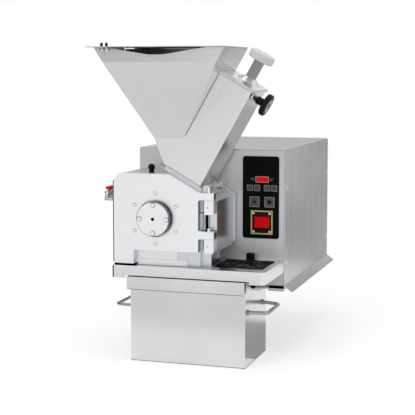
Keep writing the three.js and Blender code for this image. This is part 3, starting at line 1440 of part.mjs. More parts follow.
// Looks: colour, roughness and metalness
const looks = {
	brushed: [0xb9bbbc, 0.38, 0.9],
	satin: [0xcdd0d2, 0.45, 0.75],
	polished: [0xd6dadc, 0.16, 1],
	blasted: [0xdfe2e4, 0.55, 0.6],
	bright: [0xe8eaec, 0.2, 1],
	black: [0x101112, 0.4, 0],
	rubber: [0x0b0b0c, 0.3, 0],
	panel: [0x050506, 0.28, 0],
	key: [0x6f7375, 0.5, 0],
	keyPale: [0x9a9fa1, 0.5, 0],
	red: [0xd01414, 0.35, 0],
	yellow: [0xb8a14a, 0.45, 0],
	white: [0xdadcdd, 0.35, 0],
	tool: [0x8b9095, 0.3, 0.9],
	iron: [0x4c5155, 0.6, 0.5],
	green: [0x1f5a38, 0.6, 0],
};

const pieces = [
	['base_pan', basePan, 'satin'],
	['housing_cover', housingCover, 'brushed'],
	['front_panel', frontPanel, 'satin'],
	['rear_panel', rearPanel, 'brushed'],
	['mains_inlet', mainsInlet, 'black'],
	['keypad_panel', keypadPanel, 'panel'],
	['display_window', displayWindow, 'red'],
	...Object.entries(keyPlaces).map(
		([name, place]) => [name, () => keyCap(place), name === 'key_stop' ? 'key' : 'keyPale']
	),
	['switch_frame', switchFrame, 'yellow'],
	['switch_body', switchBody, 'black'],
	['rocker_switch', rockerSwitch, 'red'],
	['control_board', controlBoard, 'green'],
	['inverter', inverterBox, 'iron'],
	['motor_body', motorBody, 'iron'],
	['motor_shaft', motorShaft, 'tool'],
	['shaft_coupling', shaftCoupling, 'tool'],
	['adapter_plate', adapterPlate, 'satin'],
	['rear_bearing', rearBearing, 'tool'],
	['front_bearing', frontBearing, 'tool'],
	['chamber_body', chamberBody, 'blasted'],
	['fixed_knife_left', () => fixedKnife(-1), 'tool'],
	['fixed_knife_right', () => fixedKnife(1), 'tool'],
	['cutting_rotor', cuttingRotor, 'tool'],
	['rotor_shaft', rotorShaft, 'tool'],
	['sieve_cassette', sieveCassette, 'bright'],
	['door_plate', doorPlate, 'blasted'],
	['bearing_cover', bearingCover, 'blasted'],
	['hinge_block_upper', () => hingeBlock(upperBlockZ, false), 'blasted'],
	['hinge_block_lower', () => hingeBlock(lowerBlockZ, true), 'blasted'],
	['hinge_pin_upper', () => hingePin(upperBlockZ, lugZ.upper, hinge.rise), 'bright'],
	['hinge_pin_lower', () => hingePin(lowerBlockZ, lugZ.lower, hinge.lowerRise), 'bright'],
	['latch_base', latchBase, 'satin'],
	['latch_arm', latchArm, 'satin'],
	['latch_handle', latchHandle, 'satin'],
	['latch_grip', latchGrip, 'red'],
	['latch_keeper', latchKeeper, 'tool'],
	['clamp_knob', clampKnob, 'black'],
	['chamber_flange', chamberFlange, 'satin'],
	['hopper_flange', hopperFlange, 'satin'],
	['tilt_pin', tiltPin, 'bright'],
	['hopper', hopper, 'satin'],
	['hopper_lid', hopperLid, 'brushed'],
	['duct_cap', ductCap, 'satin'],
	['plunger', plungerBlock, 'satin'],
	['plunger_knob', plungerKnob, 'white'],
	['index_knob', indexKnob, 'black'],
	['index_spring', indexSpring, 'bright'],
	['table', tableTop, 'polished'],
	['table_knob', tableClampKnob, 'rubber'],
	['table_mat', tableMat, 'rubber'],
	['vessel_rails', vesselRails, 'satin'],
	['vessel', collectingVessel, 'polished'],
	['vessel_handle_left', () => vesselHandle(-1), 'bright'],
	['vessel_handle_right', () => vesselHandle(1), 'bright'],
	['vessel_lock_knob', vesselLockKnob, 'rubber'],
];

const mill = new THREE.Group();
for (const [name, make, look] of pieces) {
	const [color, roughness, metalness] = looks[look];
	const material = new THREE.MeshStandardMaterial({ color, roughness, metalness });
	const mesh = new THREE.Mesh(geometryOf(make()), material);
	mesh.name = name;
	mill.add(mesh);
}
mill.position.y = -housing.depth * half;

const cuttingMill = new THREE.Group();
cuttingMill.add(mill);

export default cuttingMill;
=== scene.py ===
"""Bench-top cutting mill: looks, small fasteners, stage and camera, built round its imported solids."""

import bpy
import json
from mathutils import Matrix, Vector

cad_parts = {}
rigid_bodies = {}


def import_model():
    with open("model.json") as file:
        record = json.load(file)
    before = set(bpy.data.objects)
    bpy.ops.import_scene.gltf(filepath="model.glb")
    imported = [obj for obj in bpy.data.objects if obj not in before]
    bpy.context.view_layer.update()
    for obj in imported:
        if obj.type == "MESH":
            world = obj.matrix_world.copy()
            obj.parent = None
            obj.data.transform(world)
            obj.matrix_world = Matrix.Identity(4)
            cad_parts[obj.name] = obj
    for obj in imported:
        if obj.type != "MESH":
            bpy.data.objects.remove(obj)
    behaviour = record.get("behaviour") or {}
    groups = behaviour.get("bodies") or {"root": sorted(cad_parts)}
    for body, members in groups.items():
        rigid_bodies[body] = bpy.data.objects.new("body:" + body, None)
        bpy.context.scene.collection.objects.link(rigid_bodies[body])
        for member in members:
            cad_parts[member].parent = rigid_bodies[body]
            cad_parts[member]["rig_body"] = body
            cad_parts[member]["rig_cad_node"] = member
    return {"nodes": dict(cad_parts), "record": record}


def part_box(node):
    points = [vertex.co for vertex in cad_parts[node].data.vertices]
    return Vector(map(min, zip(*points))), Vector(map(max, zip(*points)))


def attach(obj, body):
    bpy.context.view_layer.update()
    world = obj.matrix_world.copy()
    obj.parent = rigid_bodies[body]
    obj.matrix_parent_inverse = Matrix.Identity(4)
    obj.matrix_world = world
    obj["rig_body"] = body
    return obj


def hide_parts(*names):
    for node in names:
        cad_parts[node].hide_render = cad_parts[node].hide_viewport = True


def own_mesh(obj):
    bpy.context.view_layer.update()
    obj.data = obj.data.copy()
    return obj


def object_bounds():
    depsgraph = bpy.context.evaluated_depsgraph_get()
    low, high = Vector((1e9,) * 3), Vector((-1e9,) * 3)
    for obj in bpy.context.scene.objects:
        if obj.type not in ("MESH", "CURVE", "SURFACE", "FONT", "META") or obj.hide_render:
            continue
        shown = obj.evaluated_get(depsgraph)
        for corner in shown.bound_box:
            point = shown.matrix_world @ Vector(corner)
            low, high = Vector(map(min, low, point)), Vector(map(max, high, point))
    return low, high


bl_info = {
    "name": "Cutting mill",
    "version": (1, 0, 0),
    "blender": (4, 5, 0),
    "location": "3D View > Sidebar > Mill",
    "description": "Dresses the cutting mill's solids and adds its fasteners, marks and studio",
    "category": "Object",
}

import json
import math

import bmesh
import bpy
from bpy.props import FloatProperty, FloatVectorProperty, PointerProperty
from mathutils import Matrix, Vector

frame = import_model()
CAD_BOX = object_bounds()
MM = 0.001
HALF_DEPTH = 0.245
CHUTE_TILT = math.radians(29.5)
CHUTE_ORIGIN = Vector((-0.04795, -HALF_DEPTH, 0.2845))
CHUTE = Matrix.Translation(CHUTE_ORIGIN) @ Matrix.Rotation(CHUTE_TILT, 4, "Y")
UP = (math.pi / 2, 0, 0)
FRONT = (0, -1, 0)
LID_TOP = 570.3
HEM_Y = -182.3
HOUSING_WALL = 0.17995
MERGE_DISTANCE = 0.000012
FLAT_ANGLE = math.radians(0.6)
CORNER_ANGLE = math.radians(40)
RELIEF_DEPTH = 0.0001

LAMPS = (
    # name, place, size, power
    ("softbox_left", (-1.3, -2.6, 1.9), 1.5, 12.0),
    ("softbox_right", (2.2, -1.2, 1.5), 1.0, 2.0),
    ("softbox_top", (0.0, -0.2, 2.6), 1.8, 8.0),
)
LAMP_AIM = Vector((0, 0, 0.2))
FLOOR_BOARD_Z = -0.1462
BOARDS = (
    # name, centre, size, turn, level
    ("board_right", (2.00, 2.4, 0.55), (2.5, 2.5), UP, 0.74),
    ("board_rear", (0.60, 2.4, 0.60), (0.30, 2.4), UP, 0.0),
    ("board_low", (0.95, 0.95, -0.03), (1.3, 0.22), UP, 0.35),
    ("board_near", (0.50, -0.12, FLOOR_BOARD_Z), (0.78, 0.40), (0, 0, 0), 0.36),
    ("board_far", (0.50, 0.40, FLOOR_BOARD_Z), (0.78, 0.64), (0, 0, 0), 0.95),
    ("board_wing", (0.16, 2.00, FLOOR_BOARD_Z), (0.80, 0.70), (0, 0, 0), 1.00),
    ("board_fore", (-0.35, -1.10, FLOOR_BOARD_Z), (1.3, 0.7), (0, 0, 0), 0.78),
    ("board_top", (-0.85, 2.4, 0.62), (2.0, 0.9), UP, 0.50),
    ("board_left", (-2.6, 0.55, 0.9), (5.5, 2.8), (math.pi / 2, 0, math.pi / 2), 0.03),
    ("board_front", (-2.9, -3.3, 1.55), (4.3, 2.3), UP, 0.35),
)
CAMERA_PLACE = (0.8102, -2.8324, 0.5165)
CAMERA_PITCH = 5.156
CAMERA_TURN = 17.572
CAMERA_LENS = 99.586
CAMERA_SHIFT = -0.08


def length(name, description, default):
    return FloatProperty(
        name=name, description=description, default=default, min=0.0, unit="LENGTH", precision=5
    )


def colour(name, description, default):
    return FloatVectorProperty(
        name=name, description=description, default=default, min=0.0, max=1.0, size=3, subtype="COLOR"
    )


class MillSizes(bpy.types.PropertyGroup):
    """Sizes of the pieces that are added to the solids."""

    sheet_edge: length("Sheet edge", "Rounding along a sheet's edges", 0.0004)
    fold_edge: length("Fold", "Rounding along the folds of the funnel and the base pan", 0.0008)
    bent_edge: length("Bent edge", "Rounding along the edges of bent sheet", 0.0016)
    cast_edge: length("Machined edge", "Rounding along the edges of machined pieces", 0.0009)
    door_edge: length("Door edge", "Chamfer along the door plate's edges", 0.0026)
    knob_edge: length("Knob edge", "Rounding along the edges of knobs and keys", 0.0006)
    door_screw: length("Door screw radius", "Head radius of the screws round the bearing cover", 0.0040)
    door_circle: length("Door screw circle", "Radius of the door screws' circle", 0.0575)
    cover_screw: length("Cover screw radius", "Head radius of the bearing cover's screws", 0.0052)
    cover_circle: length("Cover screw circle", "Radius of the cover screws' circle", 0.0320)
    case_screw: length("Housing screw radius", "Head radius of the screws in the housing's side", 0.0035)
    switch_screw: length("Switch screw radius", "Head radius of the switch bezel's screws", 0.0028)
    cap_nut: length("Cap nut radius", "Radius of the lid's black cap nuts", 0.0030)
    mark: length("Mark width", "Stroke width of the plain marks on the keys", 0.0009)


class MillColours(bpy.types.PropertyGroup):
    """Colours of the mill's finishes."""

    stainless: colour("Stainless", "Brushed stainless sheet", (0.58, 0.585, 0.59))
    satin: colour("Satin", "Fine satin stainless", (0.72, 0.725, 0.735))
    blasted: colour("Blasted aluminium", "Bead-blasted cast aluminium", (0.87, 0.88, 0.895))
    bright: colour("Bright steel", "Turned and polished steel", (0.80, 0.81, 0.82))
    plate: colour("Adapter plate", "Machined plate behind the chamber", (0.58, 0.59, 0.60))
    vessel: colour("Vessel steel", "Satin steel of the table and the vessel", (0.71, 0.715, 0.725))
    chamber: colour("Chamber aluminium", "Smooth aluminium of the cutting chamber", (0.62, 0.635, 0.665))
    black: colour("Black plastic", "Moulded black plastic", (0.008, 0.008, 0.009))
    # Its glow is painted light on the latch grip, which has no lamp.
    red: colour("Signal red", "Lit red plastic", (0.62, 0.004, 0.006))
    yellow: colour("Bezel yellow", "Yellow switch bezel", (0.55, 0.45, 0.14))
    white: colour("Pale knob", "Pale moulded plastic", (0.82, 0.83, 0.84))
    key: colour("Key grey", "Grey keys", (0.25, 0.255, 0.26))


def sizes():
    return bpy.context.scene.mill_sizes


def colours():
    return bpy.context.scene.mill_colours


def at(x, y, z):
    """A place given in millimetres from the housing's front sheet, in the frame's metres."""
    return Vector((x * MM, y * MM - HALF_DEPTH, z * MM))


# ---------------------------------------------------------------- materials


def shader_of(material):
    return next(n for n in material.node_tree.nodes if n.type == "BSDF_PRINCIPLED")


def set_input(shader, name, value):
    shader.inputs[name].default_value = value


def pattern(material, scale, detail=4.0, roughness=0.55, turn=(0.0, 0.0, 0.0)):
    """A noise on the piece's own coordinates, stretched by scale."""
    tree = material.node_tree
    where = tree.nodes.new("ShaderNodeTexCoord")
    mapping = tree.nodes.new("ShaderNodeMapping")
    noise = tree.nodes.new("ShaderNodeTexNoise")
    mapping.inputs["Rotation"].default_value = turn
    mapping.inputs["Scale"].default_value = scale
    noise.inputs["Scale"].default_value = 1.0
    noise.inputs["Detail"].default_value = detail
    noise.inputs["Roughness"].default_value = roughness
    tree.links.new(where.outputs["Object"], mapping.inputs["Vector"])
    tree.links.new(mapping.outputs["Vector"], noise.inputs["Vector"])
    return noise


def ranged(material, source, low, high, from_low=0.3, from_high=0.7):
    tree = material.node_tree
    node = tree.nodes.new("ShaderNodeMapRange")
    node.inputs["From Min"].default_value = from_low
    node.inputs["From Max"].default_value = from_high
    node.inputs["To Min"].default_value = low
    node.inputs["To Max"].default_value = high
    tree.links.new(source, node.inputs["Value"])
    return node.outputs["Result"]


def shaded(material, source, dark, light):
    """A ramp between two colours, driven by a pattern."""
    tree = material.node_tree
    ramp = tree.nodes.new("ShaderNodeValToRGB")
    ramp.color_ramp.elements[0].position = 0.3
    ramp.color_ramp.elements[1].position = 0.7
    ramp.color_ramp.elements[0].color = (*dark, 1.0)
    ramp.color_ramp.elements[1].color = (*light, 1.0)
    tree.links.new(source, ramp.inputs["Fac"])
    return ramp.outputs["Color"]


def raised(material, source, strength, distance):
    tree = material.node_tree
    bump = tree.nodes.new("ShaderNodeBump")
    bump.inputs["Strength"].default_value = strength
    bump.inputs["Distance"].default_value = distance
    tree.links.new(source, bump.inputs["Height"])
    tree.links.new(bump.outputs["Normal"], shader_of(material).inputs["Normal"])


def finish_of(name, base, metal, rough, spread, scale, change, relief, turn=(0, 0, 0), level=0.5, glow=0.0):
    """A finish: a colour, a roughness and a grain that all vary with one pattern."""
    name = "mill_" + name
    made = bpy.data.materials.get(name)
    if made:
        return made
    made = bpy.data.materials.new(name)
    made.use_nodes = True
    shader = shader_of(made)
    tree = made.node_tree
    noise = pattern(made, scale, turn=turn)
    source = noise.outputs["Fac"]
    dark = [c * (1 - change) for c in base]
    light = [min(1.0, c * (1 + change)) for c in base]
    tree.links.new(shaded(made, source, dark, light), shader.inputs["Base Color"])
    tree.links.new(ranged(made, source, rough - spread, rough + spread), shader.inputs["Roughness"])
    set_input(shader, "Metallic", metal)
    set_input(shader, "Specular IOR Level", level)
    if glow:
        set_input(shader, "Emission Color", (*base, 1.0))
        set_input(shader, "Emission Strength", glow)
    if relief:
        raised(made, source, relief, RELIEF_DEPTH)
    return made


# Painted highlights: pale lines set into the mat's colour stand in for glints on its waves.
MAT_PAINTED_GLINTS = ((0.500, 0.004), (0.512, 0.34), (0.524, 0.004), (0.600, 0.004), (0.610, 0.20), (0.620, 0.004))


def mat_with_painted_glints():
    """Black foil with thin pale streaks of painted highlight in its colour, where its waves would catch the
    light.
    """
    name = "mill_creased_mat"
    made = bpy.data.materials.get(name)
    if made:
        return made
    made = bpy.data.materials.new(name)
    made.use_nodes = True
    shader = shader_of(made)
    tree = made.node_tree
    waves = pattern(made, (16, 60, 60), 2.0, 0.5, turn=(0, 0, 0.16))
    ramp = tree.nodes.new("ShaderNodeValToRGB")
    stops = ramp.color_ramp.elements
    stops[0].position, stops[1].position = 0.0, 1.0
    for place, glint in MAT_PAINTED_GLINTS:
        stops.new(place).color = (glint, glint, glint * 1.05, 1.0)
    stops[0].color = stops[-1].color = (0.004, 0.004, 0.0045, 1.0)
    tree.links.new(waves.outputs["Fac"], ramp.inputs["Fac"])
    tree.links.new(ramp.outputs["Color"], shader.inputs["Base Color"])
    tree.links.new(ranged(made, waves.outputs["Fac"], 0.45, 0.6), shader.inputs["Roughness"])
    set_input(shader, "Specular IOR Level", 0.3)
    set_input(shader, "IOR", 1.06)
    raised(made, waves.outputs["Fac"], 0.3, 0.0008)
    return made


FINE = (900.0, 900.0, 900.0)
TILT = (0.0, CHUTE_TILT, 0.0)
# key: material, base colour, metal, roughness, its spread, grain, change of colour, relief, further settings
FINISHES = {
    "brushed": ("brushed_stainless", "stainless", 1.0, 0.28, 0.05, (420, 420, 5), 0.12, 0.05, {}),
    "front": ("front_stainless", "satin", 0.25, 0.32, 0.008, (6, 14, 14), 0.02, 0.0, {}),
    "brushed_level": ("brushed_level", "stainless", 1.0, 0.36, 0.07, (14, 900, 900), 0.08, 0.10, {}),
    "satin": ("satin_stainless", "satin", 1.0, 0.34, 0.05, (260, 260, 260), 0.03, 0.05, {}),
    "chute": ("chute_stainless", "satin", 1.0, 0.27, 0.004, (9, 9, 4), 0.015, 0.0, {"turn": TILT}),
    "table": ("table_stainless", "vessel", 1.0, 0.16, 0.01, (5, 14, 14), 0.02, 0.0, {}),
    "vessel": ("vessel_stainless", "vessel", 1.0, 0.22, 0.015, (4, 4, 3), 0.06, 0.0, {}),
    "cap": ("cap_stainless", "satin", 1.0, 0.30, 0.05, (500, 12, 500), 0.03, 0.04, {"turn": TILT}),
    "plate": ("plate_aluminium", "plate", 1.0, 0.40, 0.05, (900, 900, 900), 0.03, 0.06, {}),
    "wire": ("wire_steel", (0.36, 0.37, 0.38), 1.0, 0.22, 0.04, (400, 400, 400), 0.04, 0.03, {}),
    "cassette": ("cassette_steel", "bright", 1.0, 0.34, 0.04, (400, 400, 400), 0.03, 0.03, {}),
    "bright": ("bright_steel", "bright", 1.0, 0.16, 0.04, (400, 400, 400), 0.03, 0.03, {}),
    "blasted": ("blasted_aluminium", "blasted", 1.0, 0.36, 0.05, (1600, 1600, 1600), 0.03, 0.10, {}),
    "tool": ("ground_tool_steel", (0.45, 0.47, 0.50), 1.0, 0.28, 0.06, (900, 30, 900), 0.08, 0.08, {}),
    "iron": ("painted_casting", (0.10, 0.12, 0.14), 0.0, 0.50, 0.08, (300, 300, 300), 0.10, 0.2, {}),
    "case": ("drive_case", (0.14, 0.15, 0.16), 0.0, 0.48, 0.05, (700, 700, 700), 0.06, 0.1, {}),
    "board": ("circuit_board", (0.02, 0.12, 0.05), 0.0, 0.35, 0.05, (220, 220, 220), 0.2, 0.05, {}),
    "black": ("black_plastic", "black", 0.0, 0.42, 0.06, FINE, 0.2, 0.08, {"level": 0.10}),
    "panel": ("keypad_face", (0.003, 0.003, 0.0035), 0.0, 0.45, 0.05, FINE, 0.2, 0.04, {"level": 0.05}),
    "rubber": ("black_rubber", (0.006, 0.006, 0.007), 0.0, 0.60, 0.07, FINE, 0.2, 0.1, {"level": 0.08}),
    # Near-black finish for the strips of painted shade in gaps and slots.
    "seal": ("seal_rubber", (0.002, 0.002, 0.002), 0.0, 0.8, 0.05, FINE, 0.2, 0.05, {"level": 0.0}),
    "chamber": ("chamber_aluminium", "chamber", 1.0, 0.24, 0.03, (1600, 1600, 1600), 0.02, 0.04, {}),
    # Dark steel: on the door's and the cover's edges it is painted shade; the spring and the lid strip's root
    # take it too.
    "machined": ("machined_edge", (0.16, 0.165, 0.18), 1.0, 0.30, 0.04, (900, 900, 900), 0.05, 0.04, {}),
    # Dark finish of the duct's weld and the cap's seams, and of the strips of painted shade along edges.
    "seam": ("seam_steel", (0.10, 0.102, 0.108), 0.6, 0.5, 0.05, FINE, 0.1, 0.02, {"level": 0.2}),
    "bolt_ring": (
        "bolt_ring_steel", (0.44, 0.45, 0.46), 0.8, 0.45, 0.04, FINE, 0.03, 0.02, {"level": 0.2}
    ),
    # The red finish glows: on the latch grip, which has no lamp, this glow is painted light.
    "red": (
        "signal_red", "red", 0.0, 0.35, 0.05, (300, 300, 300), 0.05, 0.02, {"level": 0.02, "glow": 0.25}
    ),
    "display": (
        "display_red", (0.70, 0.008, 0.010), 0.0, 0.3, 0.05, (300, 300, 300), 0.05, 0.0,
        {"level": 0.02, "glow": 0.35}
    ),
    "yellow": ("bezel_yellow", "yellow", 0.35, 0.35, 0.05, (700, 700, 700), 0.08, 0.05, {}),
    "white": ("pale_plastic", "white", 0.0, 0.28, 0.05, (260, 260, 260), 0.02, 0.02, {"level": 0.4}),
    "pusher": ("pusher_plastic", (0.40, 0.41, 0.43), 0.0, 0.4, 0.05, (500, 500, 60), 0.02, 0.02, {}),
    "key": ("key_grey", "key", 0.0, 0.50, 0.05, FINE, 0.06, 0.06, {"level": 0.15}),
    "key_face": ("key_face", (0.105, 0.11, 0.113), 0.0, 0.50, 0.05, FINE, 0.06, 0.06, {"level": 0.15}),
    "mark": ("mark_pale", (0.45, 0.46, 0.47), 0.0, 0.5, 0.05, FINE, 0.05, 0.02, {"level": 0.2}),
    "dark_mark": ("mark_dark", (0.006, 0.006, 0.007), 0.0, 0.5, 0.05, FINE, 0.05, 0.02, {"level": 0.1}),
    "groove": ("shadow_groove", (0.10, 0.105, 0.11), 1.0, 0.5, 0.05, FINE, 0.1, 0.02, {}),
}


def finishes():
    """Every finish by its key; a finish that is there already is taken again."""
    look = {"mat": mat_with_painted_glints()}
    for key, (name, base, *settings, further) in FINISHES.items():
        tint = getattr(colours(), base) if isinstance(base, str) else base
        look[key] = finish_of(name, tint, *settings, **further)
    return look


# ---------------------------------------------------------------- modelling helpers


def deselect():
    if bpy.context.object and bpy.context.object.mode != "OBJECT":
        bpy.ops.object.mode_set(mode="OBJECT")
    bpy.ops.object.select_all(action="DESELECT")


def only(piece):
    deselect()
    piece.select_set(True)
    bpy.context.view_layer.objects.active = piece


def finished(piece, name, body, material, smooth=35.0):
    """Puts the place into the mesh, gives the finish and hangs the piece on its body."""
    only(piece)
    bpy.ops.object.transform_apply(location=True, rotation=True, scale=True)
    bpy.ops.object.shade_smooth_by_angle(angle=math.radians(smooth))
    piece.name = name
    piece.data.name = name
    piece.data.materials.clear()
    piece.data.materials.append(material)
    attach(piece, body)
    return piece


def with_modifier(piece, kind, **settings):
    only(piece)
    modifier = piece.modifiers.new(kind.title(), kind)
    for key, value in settings.items():
        setattr(modifier, key, value)
    bpy.ops.object.modifier_apply(modifier=modifier.name)


def body_of(node):
    return next(b for b, members in frame["record"]["behaviour"]["bodies"].items() if node in members)


def refined(node, material, width, segments=3, smooth=38.0, fold=30.0):
    """A copy of a solid with merged faces and softly rounded edges stands for it."""
    source = frame["nodes"][node]
    only(source)
    bpy.ops.object.duplicate()
    piece = bpy.context.object
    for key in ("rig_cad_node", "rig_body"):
        if key in piece:
            del piece[key]
    piece.parent = None
    piece.matrix_world = Matrix.Identity(4)
    bpy.ops.object.mode_set(mode="EDIT")
    bpy.ops.mesh.select_all(action="SELECT")
    bpy.ops.mesh.remove_doubles(threshold=MERGE_DISTANCE)
    bpy.ops.mesh.dissolve_limited(angle_limit=FLAT_ANGLE)
    bpy.ops.object.mode_set(mode="OBJECT")
    if piece.data.has_custom_normals:
        bpy.ops.mesh.customdata_custom_splitnormals_clear()
    if width:
        with_modifier(
            piece,
            "BEVEL",
            width=width,
            segments=segments,
            limit_method="ANGLE",
            angle_limit=math.radians(fold),
            use_clamp_overlap=True,
        )
    finished(piece, node + "_shaped", body_of(node), material, smooth)
    with_modifier(piece, "WEIGHTED_NORMAL", mode="FACE_AREA", weight=100, keep_sharp=True)
    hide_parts(node)
    return piece


def select_faces(piece, wanted):
    """Selects, in edit mode, the faces that wanted(face) names."""
    mesh = bmesh.from_edit_mesh(piece.data)
    bpy.ops.mesh.select_mode(type="FACE")
    bpy.ops.mesh.select_all(action="DESELECT")
    for face in mesh.faces:
        if wanted(face):
            face.select_set(True)
    bmesh.update_edit_mesh(piece.data)


def aimed(piece, place, towards):
    """Turns a piece made along +Z so that its +Z looks along towards, at place."""
    turn = Vector(towards).to_track_quat("Z", "Y").to_matrix().to_4x4()
    piece.matrix_world = Matrix.Translation(place) @ turn


def socket_screw(radius, height, sides=32, recess=0.5):
    """A screw head with a round socket, its seat at the origin."""
    deselect()
    bpy.ops.mesh.primitive_cylinder_add(
        vertices=sides, radius=radius, depth=height, location=(0, 0, height / 2), enter_editmode=True
    )
    piece = bpy.context.object
    select_faces(piece, lambda f: f.normal.z > 0.9)
    bpy.ops.mesh.bevel(offset=height * 0.25, segments=3, affect="EDGES")
    select_faces(piece, lambda f: f.normal.z > 0.99)
    bpy.ops.mesh.inset(thickness=radius * recess)
    bpy.ops.mesh.extrude_region_move(TRANSFORM_OT_translate={"value": (0, 0, -height * 0.7)})
    bpy.ops.object.mode_set(mode="OBJECT")
    bpy.ops.object.transform_apply(location=True)
    return piece


def copies(model, name, places, towards, body, material):
    """One copy of model for each place; the model itself goes."""
    made = []
    for number, place in enumerate(places, 1):
        only(model)
        bpy.ops.object.duplicate()
        piece = bpy.context.object
        aimed(piece, place, towards)
        made.append(finished(piece, f"{name}_{number}", body, material))
    bpy.data.objects.remove(model)
    return made


# ---------------------------------------------------------------- operators

SHAPED = {
    "sheet_edge": {
        "brushed": ["rear_panel"],
        "front": ["front_panel"],
        "satin": [
            "hopper_flange", "chamber_flange", "latch_base", "latch_arm", "latch_handle", "vessel_rails"
        ],
        "brushed_level": ["hopper_lid"],
        "panel": ["keypad_panel"],
    },
    "fold_edge": {
        "chute": ["hopper"],
        "brushed": ["base_pan", "housing_cover"],
    },
    "bent_edge": {
        "table": ["table"],
        "vessel": ["vessel"],
        "cap": ["duct_cap"],
    },
    "cast_edge": {
        "blasted": ["bearing_cover", "hinge_block_upper", "hinge_block_lower"],
        "chamber": ["chamber_body"],
        "plate": ["adapter_plate"],
        "tool": ["latch_keeper", "fixed_knife_left", "fixed_knife_right", "cutting_rotor", "rotor_shaft"],
        "bright": ["hinge_pin_upper", "hinge_pin_lower", "tilt_pin"],
        "cassette": ["sieve_cassette"],
    },
    "door_edge": {
        "blasted": ["door_plate"],
    },
    "knob_edge": {
        "black": ["clamp_knob", "index_knob", "mains_inlet"],
        "rubber": ["table_knob", "vessel_lock_knob"],
        "white": ["plunger_knob"],
        "pusher": ["plunger"],
        "red": ["rocker_switch", "latch_grip"],
        "display": ["display_window"],
        "yellow": ["switch_frame"],
    },
}
CHAMFERED = ("door_plate", "bearing_cover", "adapter_plate")
FOLDED = ("hopper", "base_pan", "table", "vessel")

INNER = {
    "black": ["switch_body"],
    "board": ["control_board"],
    "case": ["inverter"],
    "iron": ["motor_body"],
    "tool": ["motor_shaft", "shaft_coupling", "rear_bearing", "front_bearing"],
}


class MILL_OT_shape_solids(bpy.types.Operator):
    """Rounds the edges of the solids that show and gives them their finish"""

    bl_idname = "mill.shape_solids"
    bl_label = "Shape the solids"

    def execute(self, context):
        look = finishes()
        for edge, groups in SHAPED.items():
            for finish, nodes in groups.items():
                for node in nodes:
                    segments = 1 if node in CHAMFERED else 3
                    smooth = 20.0 if node in CHAMFERED else 38.0
                    fold = 13.0 if node in FOLDED else 30.0
                    piece = refined(node, look[finish], getattr(sizes(), edge), segments, smooth, fold)
                    # The dark edge finish paints shade along these edges.
                    if node in ("door_plate", "bearing_cover"):
                        self.paint_edge_shade(piece, look["machined"], node == "bearing_cover")
        return {"FINISHED"}

    def paint_edge_shade(self, piece, finish, turned):
        """Paints shade on the cover's rim, the door's left edge and the hinge lugs' ends with a dark finish,
        as the dark outline that shade draws round them.
        """
        piece.data.materials.append(finish)
        for face in piece.data.polygons:
            n = face.normal
            rim = turned and abs(n.y) < 0.95
            edge = not turned and (n.x < -0.3 or (n.x > 0.9 and face.center.x > 0.0))
            if rim or edge:
                face.material_index = 1


class MILL_OT_inner_finishes(bpy.types.Operator):
    """Gives the drive inside the housing its finishes"""

    bl_idname = "mill.inner_finishes"
    bl_label = "Finish the drive"

    def execute(self, context):
        look = finishes()
        for finish, nodes in INNER.items():
            for node in nodes:
                mesh = frame["nodes"][node].data
                mesh.materials.clear()
                mesh.materials.append(look[finish])
        return {"FINISHED"}


class MILL_OT_wire_pieces(bpy.types.Operator):
    """Smooths the wire handles and the bolt's spring"""

    bl_idname = "mill.wire_pieces"
    bl_label = "Wire pieces"

    def execute(self, context):
        look = finishes()
        for node in ("vessel_handle_left", "vessel_handle_right"):
            refined(node, look["wire"], 0.0, smooth=60.0)
        spring = refined("index_spring", look["machined"], 0.0, smooth=60.0)
        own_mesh(spring)
        return {"FINISHED"}


class MILL_OT_mat(bpy.types.Operator):
    """Makes the glossy mat that lies in waves on the table"""

    bl_idname = "mill.mat"
    bl_label = "Table mat"

    def execute(self, context):
        deselect()
        low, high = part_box("table_mat")
        centre = (low + high) / 2
        bpy.ops.mesh.primitive_grid_add(
            x_subdivisions=90, y_subdivisions=48, size=1.0, location=(centre.x, centre.y, high.z - 0.0008)
        )
        piece = context.object
        piece.scale = (high.x - low.x, high.y - low.y, 1.0)
        bpy.ops.object.transform_apply(location=True, rotation=True, scale=True)
        cloud = bpy.data.textures.new("mat_waves", "CLOUDS")
        cloud.noise_scale = 0.030
        cloud.noise_depth = 1
        with_modifier(piece, "DISPLACE", texture=cloud, texture_coords="LOCAL", direction="Z",
                      strength=0.0022, mid_level=0.5)
        with_modifier(piece, "SOLIDIFY", thickness=0.0006, offset=-1.0)
        finished(piece, "table_mat_shaped", "housing", finishes()["mat"], 60)
        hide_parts("table_mat")
        return {"FINISHED"}


